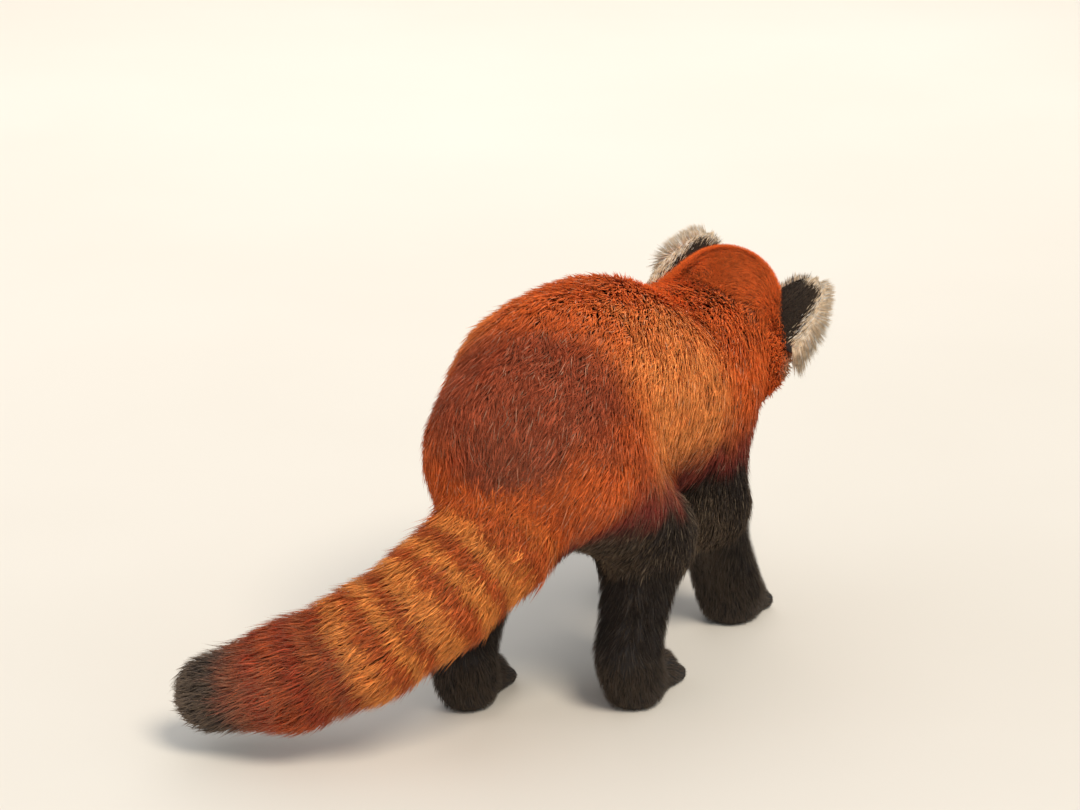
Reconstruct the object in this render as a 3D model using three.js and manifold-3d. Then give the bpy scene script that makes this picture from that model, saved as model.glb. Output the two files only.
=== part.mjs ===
// A red panda walking with its tail swung to its left, life size, in millimetres.
// +Z is up, the animal faces -Y and +X is its left side.
import * as THREE from 'three';
import { LoftGeometry } from 'three/addons/geometries/LoftGeometry.js';
import { mergeVertices } from 'three/addons/utils/BufferGeometryUtils.js';
import Module from 'manifold-3d';

const wasm = await Module();
wasm.setup();

const vec = (x, y, z) => new THREE.Vector3(x, y, z);

// Driving sizes of the body, to the skin. The coat's depth is added to them.
const BACK_COAT = 24;
const BELLY_COAT = 18;
const NECK_COAT = 24;
const TAIL_COAT = 29;
const LEG_COAT = 11;
const PAW_COAT = 5;

// Level 0 is the skin and level 1 the tips of the coat. The locks stand on a core half way.
const CORE = 0.5;
const TIPS = 1;

// A round cone between two points, with a radius at each end.
function limb(from, to, radiusFrom, radiusTo, coat) {
  const axis = to.clone().sub(from);
  const length = axis.length();
  axis.divideScalar(length);
  const slope = (radiusFrom - radiusTo) / length;
  const rise = Math.sqrt(1 - slope * slope);
  return (p, level) => {
    const dx = p.x - from.x, dy = p.y - from.y, dz = p.z - from.z;
    const along = dx * axis.x + dy * axis.y + dz * axis.z;
    const across = Math.sqrt(Math.max(0, dx * dx + dy * dy + dz * dz - along * along));
    const at = THREE.MathUtils.clamp((along + across * slope / rise) / length, 0, 1);
    const away = Math.hypot(across, along - at * length);
    return away - THREE.MathUtils.lerp(radiusFrom, radiusTo, at) - level * coat;
  };
}

// An ellipsoid with three half-widths.
function lump(centre, halves, coat) {
  return (p, level) => {
    const grow = level * coat;
    const x = (p.x - centre.x), y = (p.y - centre.y), z = (p.z - centre.z);
    const a = halves.x + grow, b = halves.y + grow, c = halves.z + grow;
    const k0 = Math.hypot(x / a, y / b, z / c);
    const k1 = Math.hypot(x / (a * a), y / (b * b), z / (c * c));
    return k1 < 1e-9 ? -Math.min(a, b, c) : k0 * (k0 - 1) / k1;
  };
}

// Short fur is part of the solid at every level.
const short = (mass) => (p) => mass(p, TIPS);

// Masses that melt into one another over a blend width.
function melt(masses, blend) {
  return (p, level) => {
    let found = Infinity;
    for (const mass of masses) {
      const d = mass(p, level);
      const h = Math.max(blend - Math.abs(found - d), 0) / blend;
      found = found === Infinity ? d : Math.min(found, d) - h * h * blend / 4;
    }
    return found;
  };
}

// Masses set in a turned frame of their own.
function turned(frame, field) {
  const back = frame.clone().invert();
  const q = vec(0, 0, 0);
  return (p, level) => field(q.copy(p).applyMatrix4(back), level);
}

// The trunk, from the rump to the shoulders.
const RUMP = vec(5, 128, 236);
const LOIN = vec(4, 60, 256);
const BACK = vec(-6, -10, 252);
const CHEST = vec(-22, -85, 226);
const WITHERS = vec(-34, -128, 228);
const NECK = vec(-46, -184, 242);
const trunk = melt([
  limb(RUMP, LOIN, 65, 67, BACK_COAT),
  limb(LOIN, BACK, 67, 68, BACK_COAT),
  limb(BACK, CHEST, 68, 64, BACK_COAT),
  limb(CHEST, WITHERS, 64, 56, BACK_COAT),
  limb(vec(0, 60, 215), vec(-16, -60, 205), 52, 56, BELLY_COAT),
], 30);
const neck = limb(WITHERS, NECK, 52, 46, NECK_COAT);

// The tail: a curve from the rump that falls to the ground.
const TAIL_LINE = new THREE.CatmullRomCurve3([
  vec(0, 140, 222), vec(10, 190, 182), vec(46, 238, 140), vec(90, 270, 106), vec(150, 292, 75), vec(222, 300, 52),
]);
const TAIL_RADIUS = [28, 22, 20, 20, 18, 8];
const tailAt = TAIL_LINE.getSpacedPoints(5);
const tail = melt(TAIL_RADIUS.slice(1).map((r, i) =>
  limb(tailAt[i], tailAt[i + 1], TAIL_RADIUS[i], r, TAIL_COAT)), 20);

// One leg: root, middle joint, ankle or wrist, heel of the paw and toes.
function leg([root, middle, ankle, paw, toes], [r0, r1, r2, r3, r4], rootCoat) {
  return melt([
    limb(root, middle, r0, r1, rootCoat),
    short(limb(middle, ankle, r1, r2, LEG_COAT)),
    short(limb(ankle, paw, r2, r3, LEG_COAT * 0.6)),
    short(limb(paw, toes, r3, r4, PAW_COAT)),
  ], 18);
}
const HIND_RADII = [46, 27, 17, 18, 17];
const FORE_RADII = [40, 25, 18, 19, 18];
const LEG_POINTS = {
  hindleg_right: [vec(-38, 112, 215), vec(-68, 40, 140), vec(-72, 98, 50), vec(-73, 84, 20), vec(-76, 36, 15)],
  hindleg_left: [vec(36, 122, 215), vec(60, 84, 135), vec(60, 150, 52), vec(60, 138, 22), vec(60, 94, 15)],
  foreleg_right: [
    vec(-60, -115, 200), vec(-78, -92, 130), vec(-86, -134, 46), vec(-90, -140, 20), vec(-94, -164, 16)],
  foreleg_left: [vec(8, -130, 200), vec(24, -118, 128), vec(20, -185, 48), vec(19, -194, 20), vec(16, -218, 16)],
};
const legs = Object.fromEntries(Object.entries(LEG_POINTS).map(([name, points]) =>
  [name, leg(points, name.startsWith('hind') ? HIND_RADII : FORE_RADII, BACK_COAT * 0.7)]));

// Four toes spread from the front of each paw, each a short round cone.
const TOES = [-1.5, -0.5, 0.5, 1.5];
const TOE_SPREAD = 9;
const TOE_RADIUS = 7.5;
const TOE_LENGTH = 13;
function toeLine(points, place) {
  const [heel, ball] = points.slice(-2);
  const ahead = ball.clone().sub(heel).setZ(0).normalize();
  const aside = vec(-ahead.y, ahead.x, 0);
  const from = ball.clone().addScaledVector(aside, place * TOE_SPREAD).setZ(TOE_RADIUS + 3);
  from.addScaledVector(ahead, 6 - 2 * Math.abs(place));
  const to = from.clone().addScaledVector(ahead, TOE_LENGTH).addScaledVector(aside, place * 1.5);
  to.z -= 3;
  return { from, to, ahead };
}
const toes = Object.values(LEG_POINTS).flatMap((points) => TOES.map((place) => {
  const { from, to } = toeLine(points, place);
  return short(limb(from, to, TOE_RADIUS, TOE_RADIUS - 1, 2));
}));

// The head, in a frame of its own: it faces -Y there too.
const HEAD_AT = vec(-50, -228, 248);
const HEAD_YAW = 0;
const HEAD_PITCH = 24;
const HEAD_ROLL = -17;
const radians = THREE.MathUtils.degToRad;
const HEAD_FRAME = new THREE.Matrix4().makeRotationFromEuler(
  new THREE.Euler(radians(HEAD_PITCH), radians(HEAD_ROLL), radians(HEAD_YAW), 'ZXY')).setPosition(HEAD_AT);
const inHead = (x, y, z) => vec(x, y, z).applyMatrix4(HEAD_FRAME);
const headWay = (x, y, z) => vec(x, y, z).transformDirection(HEAD_FRAME);
const bothSides = (make) => [make(1), make(-1)];
const skull = melt([
  short(lump(vec(0, 10, 12), vec(47, 50, 44), 8)),
  short(lump(vec(0, 22, 32), vec(40, 38, 35), 8)),
  short(lump(vec(0, -20, 18), vec(30, 24, 18), 8)),
  ...bothSides((side) => lump(vec(side * 34, 0, -12), vec(18, 26, 22), 24)),
  ...bothSides((side) => short(lump(vec(side * 24, -30, 4), vec(13, 12, 12), 4))),
  short(limb(vec(0, -32, -6), vec(0, -64, -14), 23, 13, 3)),
  short(limb(vec(0, -28, -24), vec(0, -60, -26), 13, 8, 2)),
], 14);
const muzzle = bothSides((side) => short(lump(vec(side * 9, -65, -17), vec(10, 12, 9), 2)));
const headOwn = melt([skull, ...muzzle], 6);
const head = turned(HEAD_FRAME, headOwn);

const WHOLE = melt([trunk, neck, tail, head, ...Object.values(legs)], 22);
const PAWS = melt([WHOLE, ...toes], 6);

// Corners of a grid that lie inside and outside by turns would pinch the surface.
// The weakest of them changes sides.
const PINCHES = [
  [[0, 0, 0], [1, 0, 0], [1, 1, 0], [0, 1, 0]],
  [[0, 0, 0], [0, 1, 0], [0, 1, 1], [0, 0, 1]],
  [[0, 0, 0], [1, 0, 0], [1, 0, 1], [0, 0, 1]],
];
const ACROSS = [
  [[0, 0, 0], [1, 1, 1]], [[1, 0, 0], [0, 1, 1]], [[0, 1, 0], [1, 0, 1]], [[0, 0, 1], [1, 1, 0]],
];
const CELL_CORNERS = [[0, 0, 0], [1, 0, 0], [0, 1, 0], [1, 1, 0], [0, 0, 1], [1, 0, 1], [0, 1, 1], [1, 1, 1]];
function settle(values, [nx, ny, nz], index) {
  const flip = (spots) => {
    const weakest = spots.reduce((a, b) => (Math.abs(values[a]) < Math.abs(values[b]) ? a : b));
    values[weakest] = values[weakest] < 0 ? 1e-3 : -1e-3;
  };
  let changed = true;
  for (let pass = 0; changed && pass < 20; pass++) {
    changed = false;
    for (let k = 0; k < nz - 1; k++)
      for (let j = 0; j < ny - 1; j++)
        for (let i = 0; i < nx - 1; i++) {
          const spot = ([a, b, c]) => index(i + a, j + b, k + c);
          for (const face of PINCHES) {
            const [p, q, r, s] = face.map(spot);
            const side = values[p] < 0;
            if (side === values[r] < 0 && side !== values[q] < 0 && side !== values[s] < 0) {
              flip([p, q, r, s]);
              changed = true;
            }
          }
          const cell = CELL_CORNERS.map(spot);
          const within = cell.filter((m) => values[m] < 0).length;
          if (within !== 2 && within !== 6) continue;
          for (const pair of ACROSS) {
            const [m, n] = pair.map(spot);
            if (values[m] < 0 === within < 4 && values[n] < 0 === within < 4) {
              flip([m, n]);
              changed = true;
            }
          }
        }
  }
}

// A closed surface round where a field is below zero, as surface nets on a grid.
function netted(field, low, high, cell) {
  const count = [0, 1, 2].map((k) => Math.ceil((high.getComponent(k) - low.getComponent(k)) / cell) + 1);
  const [nx, ny, nz] = count;
  const index = (i, j, k) => i + nx * (j + ny * k);
  const values = new Float64Array(nx * ny * nz);
  const at = vec(0, 0, 0);
  for (let k = 0; k < nz; k++)
    for (let j = 0; j < ny; j++)
      for (let i = 0; i < nx; i++) {
        const edge = Math.min(i, j, k, nx - 1 - i, ny - 1 - j, nz - 1 - k);
        const d = field(at.set(low.x + i * cell, low.y + j * cell, low.z + k * cell));
        values[index(i, j, k)] = edge === 0 ? Math.max(d, 0.1 * cell) : d;
      }
  settle(values, count, index);
  const vertexOf = new Map();
  const positions = [];
  const corners = CELL_CORNERS;
  const edges = [[0, 1], [0, 2], [0, 4], [1, 3], [1, 5], [2, 3], [2, 6], [3, 7], [4, 5], [4, 6], [5, 7], [6, 7]];
  for (let k = 0; k < nz - 1; k++)
    for (let j = 0; j < ny - 1; j++)
      for (let i = 0; i < nx - 1; i++) {
        const v = corners.map(([a, b, c]) => values[index(i + a, j + b, k + c)]);
        const mean = vec(0, 0, 0);
        let crossings = 0;
        for (const [a, b] of edges)
          if (v[a] < 0 !== v[b] < 0) {
            const t = v[a] / (v[a] - v[b]);
            mean.x += corners[a][0] + t * (corners[b][0] - corners[a][0]);
            mean.y += corners[a][1] + t * (corners[b][1] - corners[a][1]);
            mean.z += corners[a][2] + t * (corners[b][2] - corners[a][2]);
            crossings++;
          }
        if (!crossings) continue;
        mean.divideScalar(crossings);
        vertexOf.set(index(i, j, k), positions.length / 3);
        positions.push(low.x + (i + mean.x) * cell, low.y + (j + mean.y) * cell, low.z + (k + mean.z) * cell);
      }
  const faces = [];
  const quad = (a, b, c, d, flip) => {
    const [p, q, r, s] = flip ? [d, c, b, a] : [a, b, c, d];
    const span = (m, n) => Math.hypot(...[0, 1, 2].map((k) => positions[3 * m + k] - positions[3 * n + k]));
    if (span(p, r) <= span(q, s)) faces.push(p, q, r, p, r, s);
    else faces.push(q, r, s, q, s, p);
  };
  for (let k = 0; k < nz - 1; k++)
    for (let j = 0; j < ny - 1; j++)
      for (let i = 0; i < nx - 1; i++) {
        const here = values[index(i, j, k)] < 0;
        if (j && k && here !== values[index(i + 1, j, k)] < 0)
          quad(vertexOf.get(index(i, j - 1, k - 1)), vertexOf.get(index(i, j, k - 1)),
            vertexOf.get(index(i, j, k)), vertexOf.get(index(i, j - 1, k)), !here);
        if (i && k && here !== values[index(i, j + 1, k)] < 0)
          quad(vertexOf.get(index(i - 1, j, k - 1)), vertexOf.get(index(i - 1, j, k)),
            vertexOf.get(index(i, j, k)), vertexOf.get(index(i, j, k - 1)), !here);
        if (i && j && here !== values[index(i, j, k + 1)] < 0)
          quad(vertexOf.get(index(i - 1, j - 1, k)), vertexOf.get(index(i, j - 1, k)),
            vertexOf.get(index(i, j, k)), vertexOf.get(index(i - 1, j, k)), !here);
      }
  const made = new THREE.BufferGeometry();
  made.setAttribute('position', new THREE.Float32BufferAttribute(positions, 3));
  made.setIndex(faces);
  return made;
}

// A closed geometry as a solid, whichever way its faces were wound.
function solid(geometry) {
  const bare = new THREE.BufferGeometry();
  bare.setAttribute('position', geometry.getAttribute('position'));
  if (geometry.index) bare.setIndex(geometry.index);
  const merged = mergeVertices(bare, 1e-4);
  const points = merged.getAttribute('position').array;
  const faces = new Uint32Array(merged.index.array);
  let volume = 0;
  const corner = (k) => vec(points[3 * k], points[3 * k + 1], points[3 * k + 2]);
  for (let k = 0; k < faces.length; k += 3)
    volume += corner(faces[k]).dot(corner(faces[k + 1]).cross(corner(faces[k + 2])));
  if (volume < 0)
    for (let k = 0; k < faces.length; k += 3)
      [faces[k], faces[k + 1]] = [faces[k + 1], faces[k]];
  const mesh = new wasm.Mesh({ numProp: 3, vertProperties: new Float32Array(points), triVerts: faces });
  return new wasm.Manifold(mesh);
}
const joined = (solids) => wasm.Manifold.union(solids);

// The largest closed surface of a solid, as a geometry.
function largest(made) {
  const pieces = made.decompose().sort((a, b) => b.volume() - a.volume());
  const { vertProperties, triVerts } = pieces[0].getMesh();
  const geometry = new THREE.BufferGeometry();
  geometry.setAttribute('position', new THREE.BufferAttribute(new Float32Array(vertProperties), 3));
  geometry.setIndex(withoutSlivers(vertProperties, triVerts));
  return geometry;
}

// Corners closer than a hundredth of a millimetre become one, and the faces that this flattens go.
const LEAST_EDGE = 0.012;
function withoutSlivers(points, faces) {
  const kept = Array.from({ length: points.length / 3 }, (_, k) => k);
  const root = (k) => {
    while (kept[k] !== k) k = kept[k];
    return k;
  };
  const span = (a, b) => Math.hypot(...[0, 1, 2].map((k) => points[3 * a + k] - points[3 * b + k]));
  for (let k = 0; k < faces.length; k += 3)
    for (const [a, b] of [[0, 1], [1, 2], [2, 0]]) {
      const [p, q] = [root(faces[k + a]), root(faces[k + b])];
      if (p !== q && span(p, q) < LEAST_EDGE) kept[q] = p;
    }
  const whole = new Map();
  for (let k = 0; k < faces.length; k += 3) {
    const face = [0, 1, 2].map((m) => root(faces[k + m]));
    if (new Set(face).size < 3) continue;
    const key = face.slice().sort((a, b) => a - b).join();
    if (whole.has(key)) whole.delete(key);
    else whole.set(key, face);
  }
  return [...whole.values()].flat();
}

// All that lies on the side of a plane that its normal points to, from a shift past the plane.
const REACH = 1500;
function beyond([point, normal], shift) {
  const block = new THREE.BoxGeometry(REACH, REACH, REACH).translate(0, 0, REACH / 2 + shift);
  block.applyQuaternion(new THREE.Quaternion().setFromUnitVectors(vec(0, 0, 1), normal.clone().normalize()));
  return solid(block.translate(point.x, point.y, point.z));
}
// The space beyond several planes at once. A grown space laps over its planes by half the gap.
const GAP = 0.3;
const spaceIn = (planes, shift) => planes.map((plane) => beyond(plane, shift)).reduce((a, b) => a.intersect(b));
const inside = (planes) => spaceIn(planes, GAP / 2);
const grown = (planes) => spaceIn(planes, -GAP / 2);

// Where the nodes are parted.
const FLOOR = [[vec(0, 0, 0), vec(0, 0, 1)]];
const NECK_NORMAL = vec(-0.15, -0.85, 0.5);
const NECK_SIDE = [[vec(-40, -158, 236), NECK_NORMAL]];
const HEAD_SIDE = [[vec(-42, -190, 255), NECK_NORMAL]];
const TAIL_SIDE = [[vec(9, 192, 178), vec(0.1, 0.85, -0.5)], [vec(50, 188, 98), vec(0, 0.8, 0.6)]];
const TAIL_CUTS = [0.42, 0.72];
const tailCut = (at) => [TAIL_LINE.getPointAt(at), TAIL_LINE.getTangentAt(at)];
const turnedBack = ([point, normal]) => [point, normal.clone().negate()];
const HIP_TILT = radians(55);
const LEG_TOP = 150;
const LEG_INSET = 16;
const PAW_TOP = [vec(0, 0, 36), vec(0, 0, -1)];
const KNEE = [vec(0, 0, 120), vec(0, 0, -1)];
function legSpace(side, middle, edge) {
  return [
    [vec(middle + side * LEG_INSET, 0, LEG_TOP), vec(side * Math.sin(HIP_TILT), 0, -Math.cos(HIP_TILT))],
    [vec(middle, 0, 0), vec(side, 0, 0)],
    edge,
  ];
}
const BEHIND_BELLY = [vec(0, -12, 0), vec(0, 1, 0)];
const BEFORE_BELLY = [vec(0, -38, 0), vec(0, -1, 0)];
const HIND_MIDDLE = -6;
const FORE_MIDDLE = -36;
const LEG_SPACES = {
  hindleg_right: legSpace(-1, HIND_MIDDLE, BEHIND_BELLY),
  hindleg_left: legSpace(1, HIND_MIDDLE, BEHIND_BELLY),
  foreleg_right: legSpace(-1, FORE_MIDDLE, BEFORE_BELLY),
  foreleg_left: legSpace(1, FORE_MIDDLE, BEFORE_BELLY),
};

// A piece of the body: its field is netted in a box, then kept in some spaces and cleared from others.
function bodyPiece(field, cell, low, high, keep, clear = []) {
  const core = solid(netted((p) => field(p, CORE), low, high, cell));
  let made = joined([core, ...locksIn(low, high)]).intersect(inside(FLOOR));
  for (const planes of keep) made = made.intersect(inside(planes));
  for (const planes of clear) made = made.subtract(grown(planes));
  return made;
}

// The first point of a ray from inside the body where it leaves the given level.
function surfaceAlong(field, from, direction, level) {
  const step = direction.clone().normalize();
  let near = 0, far = 0;
  while (field(from.clone().addScaledVector(step, far), level) < 0) far += 2;
  for (let k = 0; k < 20; k++) {
    const half = (near + far) / 2;
    if (field(from.clone().addScaledVector(step, half), level) < 0) near = half;
    else far = half;
  }
  return from.clone().addScaledVector(step, near);
}

// Long coat: flat tapered locks rooted on the core, each laid along the coat and rising to the tips' level.
let drawn = 11;
function random() {
  drawn = (Math.imul(drawn, 1664525) + 1013904223) >>> 0;
  return drawn / 2 ** 32;
}
const between = (low, high) => low + (high - low) * random();
function slope(p, level) {
  const here = WHOLE(p, level);
  return vec(
    WHOLE(vec(p.x + 1, p.y, p.z), level) - here,
    WHOLE(vec(p.x, p.y + 1, p.z), level) - here,
    WHOLE(vec(p.x, p.y, p.z + 1), level) - here).normalize();
}
function settled(p, level) {
  for (let k = 0; k < 5; k++) p.addScaledVector(slope(p, level), -WHOLE(p, level));
  return p;
}
const signedPast = ([point, normal], p) => p.clone().sub(point).dot(normal.clone().normalize());
const tailSpots = TAIL_LINE.getSpacedPoints(40);
function tailLie(p) {
  let nearest = 0;
  for (let k = 1; k < tailSpots.length; k++)
    if (tailSpots[k].distanceTo(p) < tailSpots[nearest].distanceTo(p)) nearest = k;
  return TAIL_LINE.getTangentAt(nearest / 40);
}
const EAR_ROOT = vec(54, 12, 20);
const EAR_ROOTS = bothSides((side) => inHead(side * EAR_ROOT.x, EAR_ROOT.y, EAR_ROOT.z + 8));
const EAR_CLEAR = 44;
const ZONES = [
  { name: 'tail', spacing: 35, length: 56, width: 30, thick: 7, lie: tailLie,
    holds: (p) => TAIL_SIDE.every((plane) => signedPast(plane, p) > -12) },
  { name: 'cheek', spacing: 19, length: 36, width: 17, thick: 4.5, lie: () => headWay(0, 1, -0.75),
    holds: (p) => signedPast(HEAD_SIDE[0], p) > 0 && EAR_ROOTS.every((root) => root.distanceTo(p) > EAR_CLEAR) },
  { name: 'body', spacing: 47, length: 70, width: 40, thick: 8, lie: () => vec(0, 1, -0.6),
    holds: (p) => signedPast(HEAD_SIDE[0], p) <= 0 },
];
const TRIES = 9000;
const COAT_LOW = vec(-170, -330, 0);
const COAT_HIGH = vec(300, 370, 370);
const NEAR_COAT = 40;
const LEAST_DEPTH = 5;
function lockRoots() {
  const roots = [];
  for (let k = 0; k < TRIES; k++) {
    const p = vec(
      between(COAT_LOW.x, COAT_HIGH.x), between(COAT_LOW.y, COAT_HIGH.y), between(COAT_LOW.z, COAT_HIGH.z));
    if (Math.abs(WHOLE(p, CORE)) > NEAR_COAT) continue;
    settled(p, CORE);
    if (Math.abs(WHOLE(p, CORE)) > 1 || WHOLE(p, CORE) - WHOLE(p, TIPS) < LEAST_DEPTH) continue;
    const zone = ZONES.find(({ holds }) => holds(p));
    const crowded = (other) => other.p.distanceTo(p) < Math.min(zone.spacing, other.zone.spacing);
    if (!zone || roots.some(crowded)) continue;
    roots.push({ p, zone });
  }
  return roots;
}
// A lock that would fold round a sharp end, such as the tail's tip, is left out.
const LEAST_LIE = 0.2;
const MOST_BEND = 0.1;
const LEAST_ONWARD = 0.3;
const LOCK_ROWS = [
  { at: 0, wide: 0.75, thick: 0.9, rise: CORE, sunk: 7 },
  { at: 0.55, wide: 1, thick: 1, rise: 0.76, sunk: 4 },
  { at: 1, wide: 0.14, thick: 0.25, rise: 0.98, sunk: 0.5 },
];
function lock({ p, zone }) {
  const size = between(0.88, 1.12);
  const sway = between(-0.3, 0.3);
  const spot = p.clone();
  const firstNormal = slope(p, CORE);
  let way = zone.lie(spot);
  const before = spot.clone();
  const wayBefore = way.clone();
  let bent = false;
  const rings = LOCK_ROWS.map(({ at, wide, thick, rise, sunk }, k) => {
    const normal = slope(spot, rise);
    const along = zone.lie(spot).normalize();
    along.addScaledVector(normal, -along.dot(normal));
    if (along.length() > LEAST_LIE) way = along.normalize().applyAxisAngle(normal, sway * (1 - at));
    const stepped = spot.clone().sub(before).normalize();
    const onward = k > 0 ? Math.min(stepped.dot(way), stepped.dot(wayBefore)) : 1;
    bent = bent || normal.dot(firstNormal) < MOST_BEND || onward < LEAST_ONWARD;
    before.copy(spot);
    wayBefore.copy(way);
    const side = way.clone().cross(normal);
    const base = spot.clone().addScaledVector(normal, -sunk);
    const half = zone.width * size * wide / 2;
    const ring = [
      base.clone().addScaledVector(side, -half),
      spot.clone().addScaledVector(normal, zone.thick * thick * 0.4),
      base.clone().addScaledVector(side, half),
    ];
    if (k < LOCK_ROWS.length - 1) {
      spot.addScaledVector(way, zone.length * size * (LOCK_ROWS[k + 1].at - at));
      settled(spot, LOCK_ROWS[k + 1].rise);
    }
    return ring;
  });
  return bent ? null : solid(new LoftGeometry(rings, { closed: true, capStart: true, capEnd: true }));
}
const locks = lockRoots().map(lock).filter((made) => made);
function locksIn(low, high) {
  return locks.filter((made) => {
    const box = made.boundingBox();
    return [0, 1, 2].every((k) => box.max[k] > low.getComponent(k) && box.min[k] < high.getComponent(k));
  });
}

const COLOURS = {
  coat: 0xa6461c, black: 0x1c1512, tail: 0xb4602c, ear: 0xe8d8bc, nose: 0x161214, eye: 0x20120a,
};
const root = new THREE.Group();
function addNode(name, made, colour, roughness = 0.9) {
  const material = new THREE.MeshStandardMaterial({ color: colour, roughness, metalness: 0 });
  const mesh = new THREE.Mesh(largest(made), material);
  mesh.name = name;
  root.add(mesh);
}

// Torso and neck.
const TORSO_CELL = 24;
const NECK_CELL = 20;
const aroundTrunk = [NECK_SIDE, TAIL_SIDE, ...Object.values(LEG_SPACES)];
const torso = bodyPiece(WHOLE, TORSO_CELL, vec(-170, -260, 90), vec(140, 260, 390), [], aroundTrunk);
addNode('torso', torso, COLOURS.coat);
const neckPiece = bodyPiece(WHOLE, NECK_CELL, vec(-170, -270, 130), vec(90, -80, 350), [NECK_SIDE], [HEAD_SIDE]);
addNode('neck', neckPiece, COLOURS.coat);

// The tail in three lengths.
const TAIL_CELL = 21;
const tailCuts = TAIL_CUTS.map(tailCut);
const TAIL_PIECES = {
  tail_base: [TAIL_SIDE, [turnedBack(tailCuts[0])]],
  tail_middle: [TAIL_SIDE, [tailCuts[0]], [turnedBack(tailCuts[1])]],
  tail_tip: [TAIL_SIDE, [tailCuts[1]]],
};
const rumpAndTail = melt([trunk, tail], 22);
for (const [name, spaces] of Object.entries(TAIL_PIECES)) {
  const piece = bodyPiece(rumpAndTail, TAIL_CELL, vec(-110, 120, -20), vec(300, 380, 330), spaces);
  addNode(name, piece, COLOURS.tail);
}

// Claws: bent cones from the end of each toe.
const CLAW_LENGTH = 12;
const CLAW_RADIUS = 2.2;
const CLAW_SIDES = [0.5, 1.17, 1.83].map((turn) => turn * Math.PI);
const CLAW_STEPS = [0, 0.5, 1];
function claw({ to, ahead }) {
  const rings = CLAW_STEPS.map((t) => {
    const centre = to.clone().addScaledVector(ahead, 3 + CLAW_LENGTH * t);
    centre.z += 1 - 5 * t * t;
    const radius = CLAW_RADIUS * (1 - 0.85 * t);
    const aside = vec(-ahead.y, ahead.x, 0);
    return CLAW_SIDES.map((turn) => centre.clone()
      .addScaledVector(aside, radius * Math.cos(turn))
      .addScaledVector(vec(0, 0, 1), radius * Math.sin(turn)));
  });
  return solid(new LoftGeometry(rings, { closed: true, capStart: true, capEnd: true }));
}

// Legs and paws.
const LEG_CELL = 19;
const SHANK_CELL = 14;
const PAW_CELL = 10;
const LEG_HIGH = 290;
const SHANK_HIGH = 150;
const LEG_ROOM = { hind: [-40, 230], fore: [-290, 0] };
for (const [name, points] of Object.entries(LEG_POINTS)) {
  const space = LEG_SPACES[name];
  const end = name.slice(0, 4);
  const others = end === 'hind' ? [TAIL_SIDE] : [NECK_SIDE];
  const [back, front] = LEG_ROOM[end];
  const low = vec(-150, back, -20);
  const upperName = name.replace('hindleg', 'thigh').replace('foreleg', 'upper_foreleg');
  const upper = bodyPiece(WHOLE, LEG_CELL, low, vec(130, front, LEG_HIGH), [space], [[KNEE], ...others]);
  addNode(upperName, upper, COLOURS.coat);
  const shank = bodyPiece(WHOLE, SHANK_CELL, low, vec(130, front, SHANK_HIGH), [space, [KNEE]], [[PAW_TOP]]);
  addNode(name, shank, COLOURS.black);
  const ball = points[4];
  const pawLow = vec(ball.x - 45, ball.y - 60, -13);
  const pawHigh = vec(ball.x + 45, ball.y + 110, 58);
  const paw = bodyPiece(PAWS, PAW_CELL, pawLow, pawHigh, [space, [PAW_TOP]]);
  const claws = TOES.map((place) => claw(toeLine(points, place)));
  addNode(name.replace('leg', 'paw'), joined([paw, ...claws]), COLOURS.black);
}

// Head, from its own frame.
const EYE_RADIUS = 8;
const EYE_BULGE = 3.4;
const EYE_FACETS = [14, 9];
function eyePlace(side) {
  const way = headWay(side * 0.5, -0.85, 0.12).normalize();
  const skin = surfaceAlong(head, inHead(side * 20, -18, 5), way, TIPS);
  return { at: skin.clone().addScaledVector(way, EYE_BULGE - EYE_RADIUS), way, skin };
}
function eyeBall(at, radius) {
  return solid(new THREE.SphereGeometry(radius, ...EYE_FACETS).translate(at.x, at.y, at.z));
}
const LID = { ring: 8.2, tube: 1.7, wide: 1.04, tall: 0.86 };
function lids({ skin, way }) {
  const frame = new THREE.Matrix4().lookAt(way, vec(0, 0, 0), headWay(0, 0, 1)).setPosition(
    skin.clone().addScaledVector(way, 0.3));
  const ring = new THREE.TorusGeometry(LID.ring, LID.tube, 5, 14).scale(LID.wide, LID.tall, 1);
  return solid(ring.applyMatrix4(frame));
}

// The nose pad and its nostrils.
const NOSE_HALVES = vec(10, 7, 7.5);
const noseTip = surfaceAlong(head, inHead(0, -40, -10), headWay(0, -1, -0.08), TIPS);
function nosePad(extra) {
  const pad = new THREE.SphereGeometry(1, 12, 8);
  pad.scale(NOSE_HALVES.x + extra, NOSE_HALVES.y + extra, NOSE_HALVES.z + extra);
  return solid(placedInHead(pad, noseTip));
}
function placedInHead(geometry, at) {
  const frame = HEAD_FRAME.clone().setPosition(at);
  return geometry.applyMatrix4(frame);
}
function nostril(side) {
  const hole = new THREE.SphereGeometry(1, 8, 6).scale(2, 5, 1.8);
  hole.rotateZ(side * radians(30)).translate(side * 4.6, -NOSE_HALVES.y, -0.6);
  return solid(placedInHead(hole, noseTip));
}

// The mouth: a groove along the muzzle with a lower lip under it, and a short line up to the nose.
const MOUTH_TURNS = [-78, -52, -26, 0, 26, 52, 78];
function mouthPoints(drop, level) {
  return MOUTH_TURNS.map((turn) => {
    const far = Math.abs(turn) / 78;
    const from = inHead(0, -46 + 8 * far, -20 + drop + 5 * far * far);
    const way = headWay(Math.sin(radians(turn)), -Math.cos(radians(turn)), -0.12);
    return surfaceAlong(head, from, way, level);
  });
}
function tube(points, radius, sides, steps) {
  const section = new THREE.Shape().absarc(0, 0, radius, 0, 2 * Math.PI);
  const path = new THREE.CatmullRomCurve3(points);
  return solid(new THREE.ExtrudeGeometry(section, { steps, extrudePath: path, curveSegments: sides / 2 }));
}
const GROOVE = 1.1;
const LIP = 2.4;

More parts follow.
